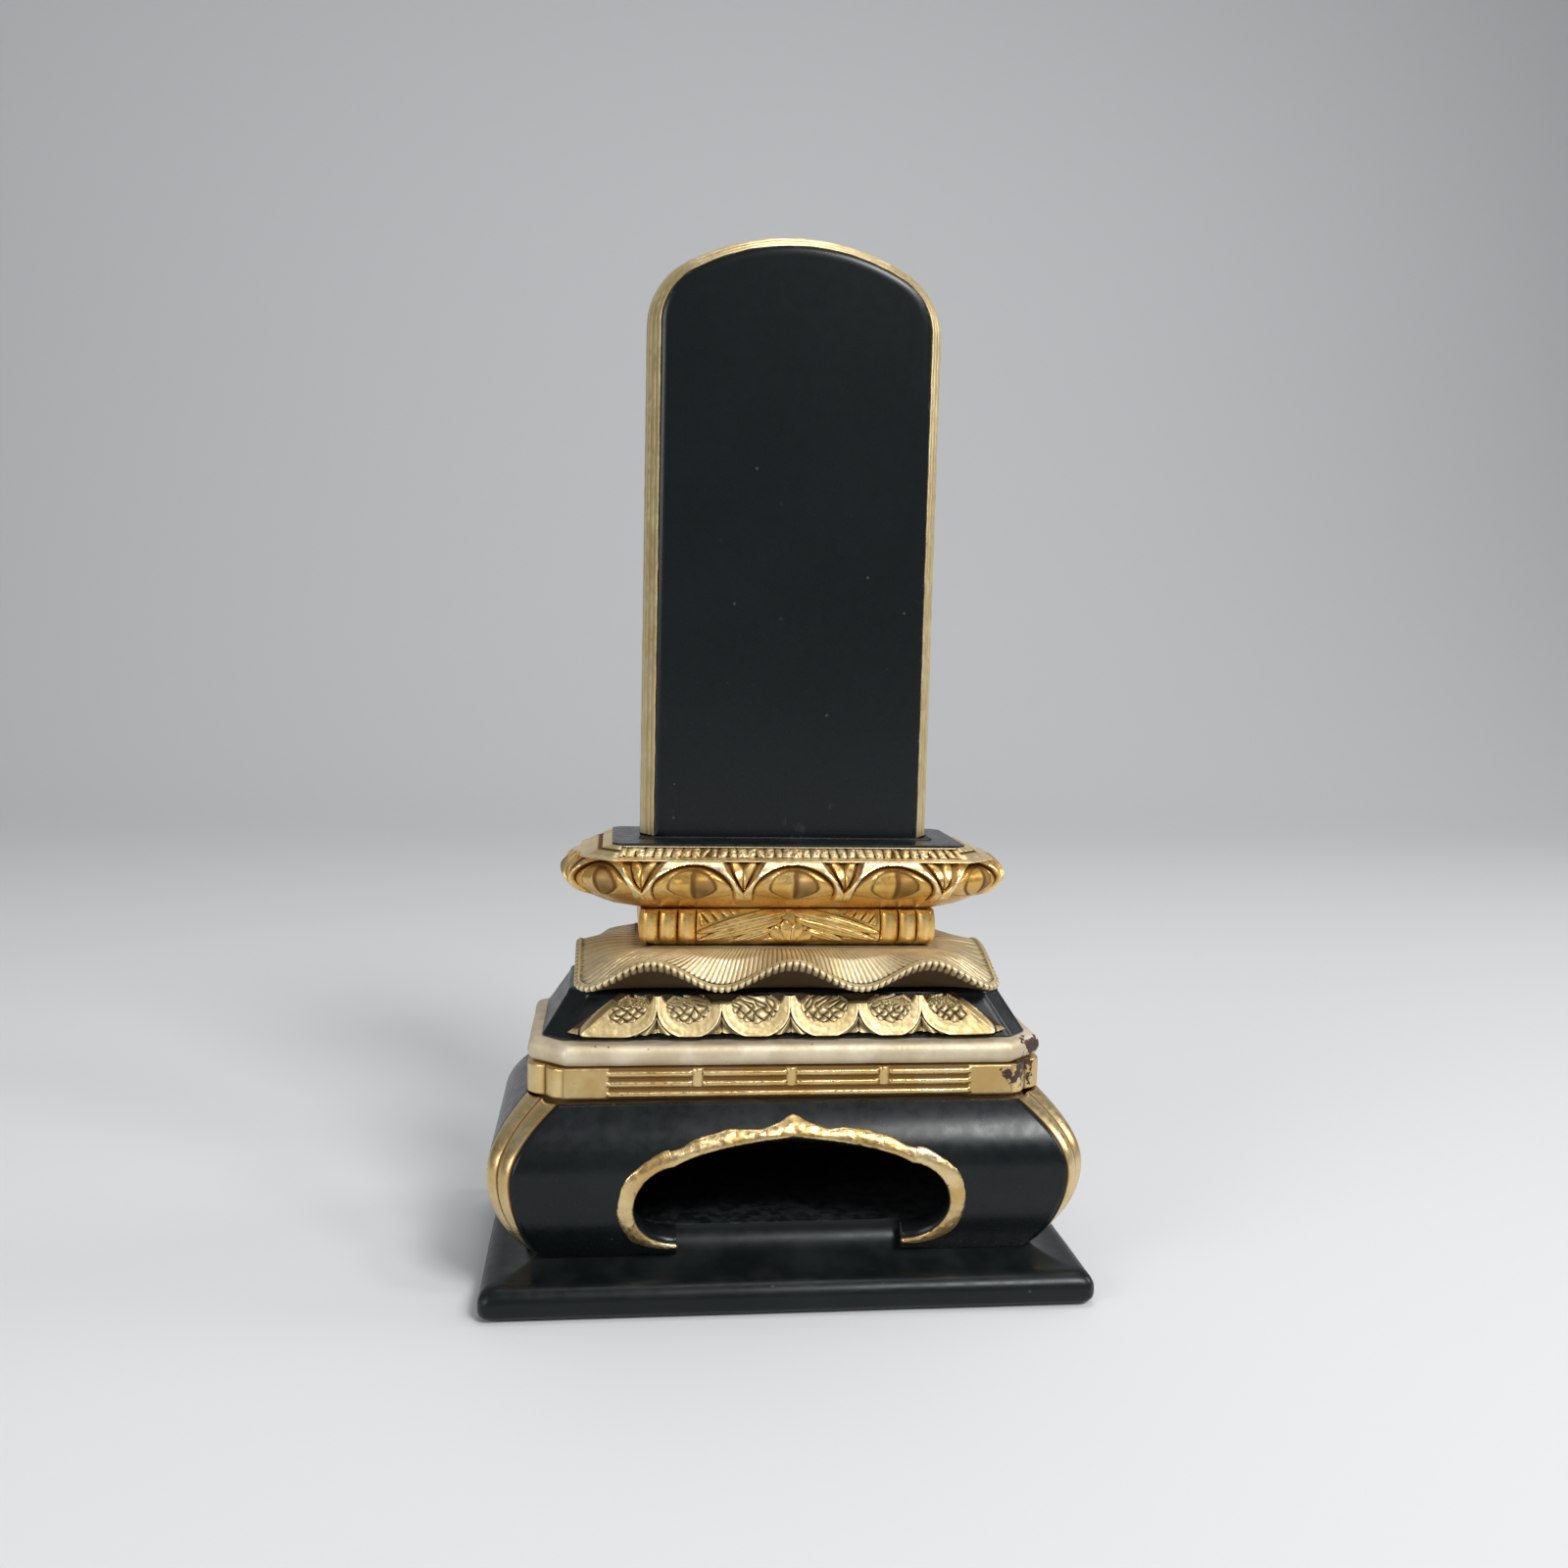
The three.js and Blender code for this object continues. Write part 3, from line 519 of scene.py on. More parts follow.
def grain_group() -> bpy.types.NodeTree:
    """Build the group that draws straight wood grain along X."""
    desk, given, out = make_group("wood grain", ("Size",), ("Line",))
    stretch = desk.add("ShaderNodeMapping", {0: given.outputs["Where"], "Scale": (0.08, 1.0, 1.0)})
    rings = desk.noise(stretch.outputs[0], given.outputs["Size"], 5.0)
    desk.plug(out, {"Line": desk.sums("FRACT", desk.sums("MULTIPLY", rings, 9.0))})
    return desk.tree


class Shop:
    """Shared node groups, built once."""

    def __init__(self) -> None:
        """Build every group."""
        self.wear = wear_group()
        self.dust = dust_group()
        self.grain = grain_group()


@dataclass(frozen=True)
class Finish:
    """What every finish shares: a named material on Object coordinates."""

    name: str

    def start(self) -> tuple[Material, Desk, bpy.types.Node, Wire]:
        """Return a new material, its desk, its shader and its coordinates."""
        material = bpy.data.materials.new(self.name)
        material.use_nodes = True
        desk = Desk(material.node_tree)
        shader = material.node_tree.nodes["Principled BSDF"]
        where = desk.add("ShaderNodeTexCoord").outputs["Object"]
        return material, desk, shader, where


@dataclass(frozen=True)
class Lacquer(Finish):
    """Black lacquer, rubbed satin, with a faint wave and a little dust."""

    colour: Colour = (0.0035, 0.0055, 0.0062, 1.0)
    bloom: Colour = (0.006, 0.0085, 0.0092, 1.0)
    rubbed: Colour = (0.022, 0.026, 0.028, 1.0)
    dust: Colour = (0.16, 0.16, 0.15, 1.0)
    roughness: float = 0.26
    specks: float = 0.8
    film: float = 0.06
    wave: float = 0.06
    smear: float = 0.03
    shine: float = 0.28

    def build(self, shop: Shop) -> Material:
        """Return the lacquer as a material."""
        material, desk, shader, where = self.start()
        hand = desk.noise(where, 420.0, 5.0)
        dust = desk.group(shop.dust, Where=where, Specks=self.specks, Film=self.film).outputs[0]
        rub = desk.group(shop.wear, Where=where, Ridge=desk.layer("ridge"), Size=500.0, Amount=0.5)
        clouds = desk.remap(desk.noise(where, 55.0, 4.0), 0.35, 0.7)
        base = desk.tint(clouds, self.colour, self.bloom)
        base = desk.tint(rub.outputs["Worn"], base, self.rubbed)
        smear = desk.remap(hand, 0.25, 0.75, self.roughness - self.smear, self.roughness + 2 * self.smear)
        height = desk.sums("ADD", desk.noise(where, 90.0, 2.0), desk.sums("MULTIPLY", hand, 0.12))
        sockets = {
            "Base Color": desk.tint(dust, base, self.dust),
            "Roughness": desk.sums("ADD", smear, desk.sums("MULTIPLY", dust, 0.5)),
            "Specular IOR Level": self.shine,
            "Normal": desk.bump(self.wave, 0.0006, height),
        }
        desk.plug(shader, sockets)
        return material


@dataclass(frozen=True)
class Gilding(Finish):
    """Gold leaf over lacquer, rubbed through on the edges and darker in the hollows. The tone
    stored on each piece paints shade in recesses and under things, and highlights on crests.

    A chip is a place where it has flaked away. Gilding that tapers keeps to the strip stored on
    the piece, with black lacquer beside it.
    """

    leaf: Colour = (0.72, 0.42, 0.1, 1.0)
    light: Colour = (0.9, 0.62, 0.24, 1.0)
    # shade is the colour of painted shade and of the darker hollows; crest is the colour of a painted
    # highlight.
    shade: Colour = (0.12, 0.05, 0.01, 1.0)
    crest: Colour = (0.92, 0.78, 0.46, 1.0)
    painted_highlight_share: float = 0.0
    under: Colour = (0.05, 0.022, 0.014, 1.0)
    beside: Colour = (0.0055, 0.008, 0.009, 1.0)
    roughness: float = 0.3
    metal: float = 0.95
    wear: float = 0.25
    wrinkle: float = 0.35
    wear_size: float = 700.0
    chip: tuple[float, float, float] | None = None
    chip_reach: float = 6.0
    tapers: bool = False

    def build(self, shop: Shop) -> Material:
        """Return the gilding as a material."""
        material, desk, shader, where = self.start()
        foil = desk.noise(where, 900.0, 6.0)
        # The layer called relief holds the painted tone: low values paint shade, high values paint
        # highlights.
        tone = desk.layer("relief")
        ridge, hollow = desk.layer("ridge"), desk.layer("hollow")
        size, amount = self.wear_size, self.wear
        rub = desk.group(shop.wear, Where=where, Ridge=ridge, Hollow=hollow, Size=size, Amount=amount)
        # Painted shade where the stored tone is low, joined with the darker hollows; both mix towards the
        # shade colour.
        painted_shade = desk.remap(tone, 0.3, -0.9)
        hollows_and_painted_shade = desk.sums("MAXIMUM", rub.outputs["Dark hollows"], desk.sums("MULTIPLY", painted_shade, 0.95))
        bare = rub.outputs["Worn"]
        if self.chip is not None:
            bare = desk.sums("MAXIMUM", bare, self.chipped(desk, where))
        clouds = desk.remap(desk.noise(where, 130.0, 5.0), 0.35, 0.68)
        base = desk.tint(clouds, self.leaf, self.light)
        # Painted highlight: the crest colour where the stored tone is high.
        base = desk.tint(desk.remap(tone, 0.45, 1.0, 0.0, self.painted_highlight_share), base, self.crest)
        base = desk.tint(hollows_and_painted_shade, base, self.shade)
        base = desk.tint(bare, base, self.under)
        metal = desk.sums("MULTIPLY_ADD", bare, -self.metal * 0.9, self.metal)
        # Painted shade is also made less metallic.
        metal = desk.sums("MULTIPLY", metal, desk.sums("MULTIPLY_ADD", painted_shade, -0.85, 1.0))
        if self.tapers:
            ragged = desk.noise(where, 900.0, 4.0)
            edge = desk.sums("MULTIPLY_ADD", ragged, 0.3, desk.layer("strip"))
            black = desk.remap(edge, 0.68, 0.62)
            base = desk.tint(black, base, self.beside)
            metal = desk.sums("MULTIPLY", metal, desk.sums("SUBTRACT", 1.0, black))
        matt = desk.remap(foil, 0.25, 0.75, self.roughness - 0.07, self.roughness + 0.12)
        height = desk.sums("ADD", foil, desk.sums("MULTIPLY", bare, -0.6))
        sockets = {
            "Base Color": base,
            "Metallic": metal,
            # Painted shade is also made rougher and less shiny.
            "Roughness": desk.sums("MULTIPLY_ADD", hollows_and_painted_shade, 0.25, matt),
            "Specular IOR Level": desk.sums("MULTIPLY_ADD", painted_shade, -0.42, 0.5),
            "Normal": desk.bump(self.wrinkle, 0.00012, height),
        }
        desk.plug(shader, sockets)
        return material

    def chipped(self, desk: Desk, where: Wire) -> Wire:
        """Return the mask of the place where the gold has flaked away."""
        spot = tuple(value * MM for value in self.chip)
        away = desk.add("ShaderNodeVectorMath", {0: where, 1: spot}, operation="DISTANCE").outputs["Value"]
        near = desk.remap(away, 0.0, self.chip_reach * MM, 0.32, 0.0)
        flakes = desk.noise(where, 620.0, 8.0)
        return desk.remap(desk.sums("ADD", near, flakes), 0.7, 0.74)


@dataclass(frozen=True)
class Timber(Finish):
    """Plain softwood, darkened with age."""

    light: Colour = (0.3, 0.2, 0.1, 1.0)
    dark: Colour = (0.16, 0.09, 0.04, 1.0)

    def build(self, shop: Shop) -> Material:
        """Return the wood as a material."""
        material, desk, shader, where = self.start()
        lines = desk.group(shop.grain, Where=where, Size=300.0).outputs[0]
        sockets = {
            "Base Color": desk.tint(lines, self.light, self.dark),
            "Roughness": desk.remap(lines, 0.0, 1.0, 0.6, 0.8),
            "Normal": desk.bump(0.3, 0.0002, lines),
        }
        desk.plug(shader, sockets)
        return material


class Finishes:
    """Every finish on the object, built once."""

    def __init__(self) -> None:
        """Build the materials."""
        shop = Shop()
        self.face = Lacquer(
            "tablet_lacquer",
            bloom=(0.0042, 0.0066, 0.0074, 1.0),
            roughness=0.27,
            specks=0.7,
            film=0.0,
            wave=0.02,
            smear=0.008,
            shine=0.32,
        ).build(shop)
        self.black = Lacquer("stand_lacquer").build(shop)
        self.base = Lacquer("base_lacquer", roughness=0.32, film=0.05, wave=0.07).build(shop)
        self.rich = Gilding("rich_gold", painted_highlight_share=0.85, wear=0.12).build(shop)
        self.stamen = Gilding(
            "stamen_gold",
            leaf=(0.66, 0.46, 0.19, 1.0),
            light=(0.86, 0.68, 0.38, 1.0),
            shade=(0.07, 0.035, 0.01, 1.0),
            crest=(0.9, 0.76, 0.48, 1.0),
            painted_highlight_share=0.9,
            roughness=0.42,
            wear=0.06,
        ).build(shop)
        self.rim = Gilding(
            "rim_gold",
            leaf=(0.66, 0.5, 0.23, 1.0),
            light=(0.8, 0.65, 0.35, 1.0),
            shade=(0.16, 0.08, 0.02, 1.0),
            crest=(0.95, 0.84, 0.58, 1.0),
            painted_highlight_share=0.8,
            roughness=0.42,
            wear=0.1,
        ).build(shop)
        self.pale = Gilding(
            "pale_gold",
            leaf=(0.54, 0.42, 0.23, 1.0),
            light=(0.66, 0.54, 0.34, 1.0),
            shade=(0.03, 0.016, 0.006, 1.0),
            crest=(0.85, 0.74, 0.48, 1.0),
            painted_highlight_share=0.8,
            roughness=0.5,
            metal=0.85,
            wear=0.08,
        ).build(shop)
        self.panel = Gilding(
            "panel_gold",
            leaf=(0.48, 0.36, 0.17, 1.0),
            light=(0.58, 0.46, 0.25, 1.0),
            shade=(0.03, 0.014, 0.006, 1.0),
            crest=(0.86, 0.74, 0.44, 1.0),
            painted_highlight_share=0.7,
            roughness=0.47,
            wear=0.14,
        ).build(shop)
        self.band = Gilding(
            "band_gold",
            leaf=(0.66, 0.45, 0.17, 1.0),
            light=(0.78, 0.6, 0.3, 1.0),
            wear=0.34,
            chip=(46.5, -20.0, 43.6),
            chip_reach=8.0,
        ).build(shop)
        self.moulding = Gilding(
            "moulding_gold",
            leaf=(0.6, 0.5, 0.34, 1.0),
            light=(0.75, 0.66, 0.5, 1.0),
            shade=(0.16, 0.1, 0.05, 1.0),
            roughness=0.56,
            metal=0.65,
            chip=(50.0, -18.0, 47.6),
        ).build(shop)
        self.line = Gilding(
            "line_gold",
            leaf=(0.6, 0.4, 0.15, 1.0),
            light=(0.8, 0.62, 0.33, 1.0),
            wear=0.5,
            wrinkle=0.8,
            wear_size=900.0,
        ).build(shop)
        self.post = Gilding(
            "post_gold",
            leaf=(0.62, 0.44, 0.19, 1.0),
            light=(0.76, 0.6, 0.32, 1.0),
            wear=0.4,
            tapers=True,
        ).build(shop)
        self.wood = Timber("plain_wood").build(shop)


# Base


@dataclass
class BasePlate:
    """The moulded base: a rounded nose and a cove up to the plinth."""

    corner: float = 2.4
    nose_height: float = 6.4
    nose_round: float = 3.2
    foot_round: float = 2.2
    plinth_width: float = 93.2
    plinth_depth: float = 41.0
    plinth_corner: float = 0.3
    rubbed_in: float = 0.06
    wave_size: float = 9.0
    high: Vector = field(init=False)

    def __post_init__(self) -> None:
        """Take the size from the frame."""
        self.high = span("base_plate")[1]

    def cove_height(self, x: float, y: float) -> float:
        """Return the height of the cove's surface at a place in plan."""
        run_x = self.high.x - self.plinth_width / 2 - self.nose_round
        run_y = self.high.y - self.plinth_depth / 2 - self.nose_round
        share_x = (self.high.x - self.nose_round - abs(x)) / run_x
        share_y = (self.high.y - self.nose_round - abs(y)) / run_y
        share = min(1.0, max(0.0, min(share_x, share_y)))
        return self.nose_height + (self.high.z - self.nose_height) * (1 - round_over(share))

    def build(self, looks: Finishes) -> None:
        """Make the base plate."""
        outer = Outline(self.high.x, self.high.y, radius=self.corner)
        plinth = Outline(self.plinth_width / 2, self.plinth_depth / 2, radius=self.plinth_corner, like=outer)
        run = self.high.x - self.plinth_width / 2
        nose, foot = self.nose_round, self.foot_round
        cove = sweep((nose, self.high.z), (run - nose, self.high.z - self.nose_height), -90, 0, 16)
        line = Section(
            [
                *sweep((foot, foot), (foot, foot), 270, 180, 4),
                *sweep((nose, self.nose_height - nose), (nose, nose), 180, 90, 8),
                *cove[1:],
            ]
        )

        def place(along: float, up: float) -> Spot:
            (start, facing), (end, _) = outer.at(along), plinth.at(along)
            inward, height = line.at(up)
            flat = start.lerp(end, inward / run)
            flat -= facing * (self.rubbed_in * (1 + rough(flat.x, flat.y, height, self.wave_size)))
            return Vector((*flat, height)), 1.0

        make_piece("moulded_base", shell(560, 72, place), looks.base, ["base_plate"])


# Body


@dataclass
class BodyShape:
    """The swelling outline that the boards and corner posts share."""

    half_x: float = 58.8
    half_y: float = 30.5
    belly: float = 25.5
    foot: float = 8.6
    top: float = 38.5
    top_draw: float = 7.2
    foot_draw: float = 6.2
    cant_belly: float = 4.8
    cant_top: float = 6.0
    cant_slope: float = 1.45
    wall: float = 4.0

    def draw(self, z: float) -> float:
        """Return how far the walls draw in at a height."""
        if z > self.belly:
            return self.top_draw * ((z - self.belly) / (self.top - self.belly)) ** 2
        return self.foot_draw * ((self.belly - z) / (self.belly - self.foot)) ** 2

    def cant(self, z: float) -> float:
        """Return how much of the front each corner post takes at a height."""
        upper = max(0.0, (z - self.belly) / (self.top - self.belly))
        return mix(self.cant_belly, self.cant_top, upper**2)

    def lean(self, z: float) -> float:
        """Return the angle at which the wall leans back at a height."""
        step = 0.2
        return math.atan2(self.draw(z + step) - self.draw(z - step), 2 * step)


@dataclass
class Arch:
    """The kozama opening: two round lobes and a low pointed crown."""

    lobe_x: float = 22.2
    lobe_z: float = 19.7
    lobe_radius: float = 8.7
    lobe_end: float = 84.6
    crown_z: float = 33.1
    haunch: tuple[float, float] = (13.3, 32.1)
    cusp: tuple[float, float] = (20.6, 30.0)
    foot: float = 8.4

    def line(self) -> Section:
        """Return the whole outline from the left toe over the crown to the right toe."""
        right = sweep(
            (self.lobe_x, self.lobe_z), (self.lobe_radius, self.lobe_radius), -90, self.lobe_end, 40
        )
        start = right[-1]
        for step in range(1, 33):
            t = step / 32
            back = 1 - t
            weights = (back**3, 3 * back**2 * t, 3 * back * t**2, t**3)
            knots = (start, self.cusp, self.haunch, (0.0, self.crown_z))
            right.append(tuple(sum(w * knot[axis] for w, knot in zip(weights, knots)) for axis in (0, 1)))
        right.insert(0, (self.lobe_x, self.foot))
        left = [(-x, z) for x, z in right]
        return Section([*left, *reversed(right[:-1])])


@dataclass
class Body:
    """Four boards, four gilt corner posts and the gold line round the arch."""

    base: BasePlate
    shape: BodyShape = field(default_factory=BodyShape)
    arch: Arch = field(default_factory=Arch)
    seam: float = 0.05
    reed: float = 0.75
    line_lobe: float = 3.2
    line_crown: float = 2.9
    line_waist: float = 0.9
    waist_x: float = 6.5
    line_cusp: float = 0.8
    cusp_x: float = 21.0
    line_point: float = 0.8
    line_height: float = 0.5
    line_lift: float = 0.6
    line_overlap: float = 0.15
    line_toe: float = 0.02
    line_step: float = 0.006

    def front_point(self, x: float, z: float, proud: float = 0.0) -> Vector:
        """Return the point of the front wall at a place, or proud of it."""
        lean = self.shape.lean(z)
        y = -(self.shape.half_y - self.shape.draw(z))
        return Vector((x, y - proud * math.cos(lean), z + proud * math.sin(lean)))

    def board_edge(self, z: float) -> float:
        """Return half the front board's width at a height."""
        return self.shape.half_x - self.shape.draw(z) - self.shape.cant(z) - self.seam

    def foot(self, way_x: float, way_y: float) -> float:
        """Return the height at which the wall that lies this way from the middle meets the cove."""
        z = self.shape.foot
        for _ in range(6):
            draw = self.shape.draw(z)
            half_x, half_y = self.shape.half_x - draw, self.shape.half_y - draw
            z = self.base.cove_height(way_x * half_x, way_y * half_y)
        return z

    def build(self, looks: Finishes) -> None:
        """Make every piece of the body."""
        self.front_board(looks)
        self.back_board(looks)
        self.side_boards(looks)
        self.posts(looks)
        self.gold_line(looks)

    def front_board(self, looks: Finishes) -> None:
        """Make the front board round its arch."""
        foot = self.foot(0, 1)
        opening = self.arch.line()
        steps = 16
        heights = [mix(foot, self.shape.top, step / steps) for step in range(steps + 1)]
        left = [(-self.board_edge(z), z) for z in heights]
        right = [(self.board_edge(z), z) for z in reversed(heights)]
        rim = Section([*left, *right])

        def place(along: float, across: float) -> Spot:
            flat = opening.at(along).lerp(rim.at(along), across**1.4)
            return self.front_point(flat.x, max(flat.y, foot)), 1.0

        self.board("front", carved(360, 40, place), looks)

    def board(self, name: str, mesh: BMesh, looks: Finishes) -> None:
        """Make one board of a surface that is its outer face."""
        nodes = [f"body_{name}_board"]
        make_piece(f"{name}_board", mesh, looks.black, nodes, wall=self.shape.wall)

    def back_board(self, looks: Finishes) -> None:
        """Make the plain back board."""
        foot = self.foot(0, 1)

        def place(along: float, up: float) -> Spot:
            z = mix(foot, self.shape.top, up)
            edge = self.board_edge(z)
            point = self.front_point(mix(edge, -edge, along), z)
            return Vector((point.x, -point.y, z)), 1.0

        self.board("back", carved(60, 60, place), looks)

    def side_boards(self, looks: Finishes) -> None:
        """Make the two side boards."""
        foot = self.foot(1, 0)
        shape = self.shape
        for name, side in (("left", -1), ("right", 1)):

            def place(along: float, up: float, side: int = side) -> Spot:
                z = mix(foot, shape.top, up)
                edge = shape.half_y - shape.draw(z) - shape.cant(z) * shape.cant_slope - self.seam
                return Vector((side * (shape.half_x - shape.draw(z)), side * mix(-edge, edge, along), z)), 1.0

            self.board(name, carved(40, 60, place), looks)

    def posts(self, looks: Finishes) -> None:
        """Make the reeded corner posts."""
        for end, side_y in (("front", -1), ("back", 1)):
            for name, side_x in (("left", -1), ("right", 1)):
                mesh = self.post_mesh(side_x, side_y)
                node = f"corner_post_{end}_{name}"
                make_piece(f"gilt_{node}", mesh, looks.post, [node], wall=self.shape.wall)

    def post_mesh(self, side_x: int, side_y: int) -> BMesh:
        """Return one post's face with two reeds that die out towards the foot.

        Args:
            side_x: -1 for the left, 1 for the right.
            side_y: -1 for the front, 1 for the back.
        """
        shape = self.shape
        foot = (self.foot(0, 1) + self.foot(1, 0)) / 2

        def strip(z: float) -> float:
            return ease(foot - 1.0, shape.belly - 2.0, z) ** 0.5

        def place(along: float, up: float) -> Spot:
            across = along if side_x * side_y < 0 else 1 - along
            z = mix(foot, shape.top, up)
            half_x = shape.half_x - shape.draw(z)
            half_y = shape.half_y - shape.draw(z)
            cant_x = shape.cant(z)
            cant_y = cant_x * shape.cant_slope
            facing = Vector((cant_y, cant_x)).normalized()
            flat = Vector((half_x - cant_x, half_y)).lerp(Vector((half_x, half_y - cant_y)), across)
            reed = abs(math.sin(2 * math.pi * across))
            flat += facing * (self.reed * reed**0.8 * mix(0.35, 1.0, strip(z)))
            # The tone paints shade in the groove between the two reeds.
            return Vector((side_x * flat.x, side_y * flat.y, z)), mix(-1.3, 0.5, min(1.0, 2.6 * reed))

        mesh = carved(36, 90, place)
        layer = mesh.verts.layers.float.new("strip")
        for vert in mesh.verts:
            z = vert.co.z / MM
            inward = (shape.half_x - shape.draw(z) - abs(vert.co.x) / MM) / shape.cant(z)
            room = 0.5 * strip(z) + 0.06
            vert[layer] = ease(room + 0.08, room - 0.08, abs(inward - 0.45))
        return mesh

    def gold_line(self, looks: Finishes) -> None:
        """Make the raised, hand-painted gold line round the arch."""
        opening = self.arch.line()
        foot = self.foot(0, 1) + self.line_lift
        toe, step = self.line_toe, self.line_step

        def place(along: float, turn: float) -> Spot:
            share = mix(toe, 1 - toe, 1 - along)
            here = opening.at(share)
            way = (opening.at(min(1.0, share + step)) - opening.at(max(0.0, share - step))).normalized()
            away = Vector((-way.y, way.x))
            width = self.line_width(here.x, here.y, min(along, 1 - along))
            angle = 2 * math.pi * turn
            reach = width / 2 * (1 - math.cos(angle)) - self.line_overlap
            lumps = 1 + 0.3 * rough(here.x, here.y, reach * 3, 1.4)
            proud = self.line_height * math.sin(angle) * lumps
            flat = here + away * reach
            # The tone paints a little shade along the line's low edges.
            return self.front_point(flat.x, max(flat.y, foot), proud), ease(-0.1, 0.4, proud)

        make_piece("arch_gold_line", shell(620, 22, place), looks.line, crease=80.0)

    def line_width(self, x: float, z: float, end: float) -> float:
        """Return the width of the painted line at a place on the arch.

        Args:
            x: Place across the front.
            z: Height of the place.
            end: Share of the arch between the place and the nearer toe.
        """
        side = abs(x)
        width = mix(self.line_lobe, self.line_crown, ease(28.5, 31.0, z) * ease(20.0, 17.0, side))
        on_crown = ease(28.0, 31.0, z)
        width -= self.line_waist * peak(side, self.waist_x, 3.2) * on_crown
        width -= self.line_cusp * peak(side, self.cusp_x, 2.2) * ease(26.0, 28.0, z)
        width += self.line_point * peak(side, 0.0, 1.7) * on_crown
        taper = mix(0.2, 1.0, ease(0.0, 0.11, end) ** 0.8)
        return max(0.6, width) * taper * (1 + 0.14 * rough(x, z, 0.0, 3.5))


# Step


@dataclass
class Step:
    """The barred band with reeded corners and the rounded moulding on it."""

    cant_x: float = 7.4
    cant_y: float = 6.4
    reed: float = 0.7
    bar_relief: float = 0.6
    bar_height: float = 1.15
    bar_half_span: float = 35.7
    tie_pitch: float = 18.4
    tie_half: float = 0.9
    band_round: float = 0.5
    moulding_round: float = 1.5

    def build(self, looks: Finishes) -> None:
        """Make the band and the moulding."""
        self.band(looks)
        self.moulding(looks)

    def band(self, looks: Finishes) -> None:
        """Make the barred band."""
        low, high = span("step_band")
        half_y = span("step_moulding")[1].y - self.bar_relief
        outer = Outline(high.x, half_y, self.cant_x, self.cant_y, 0.6)
        inner = outer.inset(1.0)
        edge = self.band_round
        line = Section(
            [
                *sweep((edge, low.z + edge), (edge, edge), 270, 180, 4),
                *sweep((edge, high.z - edge), (edge, edge), 180, 90, 4),
            ]
        )

        def carve(along: float, z: float, x: float) -> Relief:
            on_front = abs(along) < high.x - self.cant_x
            bars = self.bars(x, z - low.z, high.z - low.z) if on_front else 0.0
            reed = outer.reed(x)
            relief = bars + self.reed * reed * 0.9 + 0.05 * rough(x, abs(along), z, 1.6) - 0.06
            # The tone paints shade in the grooves between the reeds and between the bars, and highlights on
            # them.
            if high.x - self.cant_x < abs(x) < high.x - 0.15:
                return relief, mix(-1.2, 0.8, reed**0.5)
            barred = abs(along) < self.bar_half_span
            return relief, mix(-0.75 if barred else -0.1, 1.0, bars / self.bar_relief)

        mesh = shell(1000, 44, tier(outer, inner, line, carve))
        make_piece("barred_band", mesh, looks.band, ["step_band"])

    def bars(self, x: float, rise: float, height: float) -> float:
        """Return the relief of the three bars and their ties on the front."""
        ends = ease(self.bar_half_span + 0.8, self.bar_half_span - 0.4, abs(x))
        pitch = (height - 2 * self.band_round - self.bar_height) / 2
        best = 0.0
        for row in range(3):
            middle = self.band_round + self.bar_height / 2 + row * pitch
            bar = round_over((rise - middle) / (self.bar_height / 2)) ** 0.7 * ends
            gaps = (0.0, self.tie_pitch) if row > 0 else ()
            for place in gaps:
                bar *= ease(self.tie_half * 0.9, self.tie_half * 1.7, abs(abs(x) - place))
            best = max(best, bar)
        if rise > self.band_round + pitch:
            for place in (0.0, self.tie_pitch):
                best = max(best, round_over((abs(x) - place) / self.tie_half) * 0.9)
        return self.bar_relief * best

    def moulding(self, looks: Finishes) -> None:
        """Make the rounded moulding."""
        low, high = span("step_moulding")
        outer = Outline(high.x, high.y, self.cant_x, self.cant_y, 0.8)
        inner = outer.inset(1.0)
        middle = (low.z + high.z) / 2
        radii = (self.moulding_round, high.z - middle)
        line = Section(sweep((self.moulding_round, middle), radii, 270, 90, 14))

        def carve(along: float, z: float, x: float) -> Relief:
            return -0.05 + 0.08 * rough(x, abs(along), z, 5.0), 1.0

        mesh = shell(520, 24, tier(outer, inner, line, carve))
        make_piece("rounded_moulding", mesh, looks.moulding, ["step_moulding"])


# Lower lotus


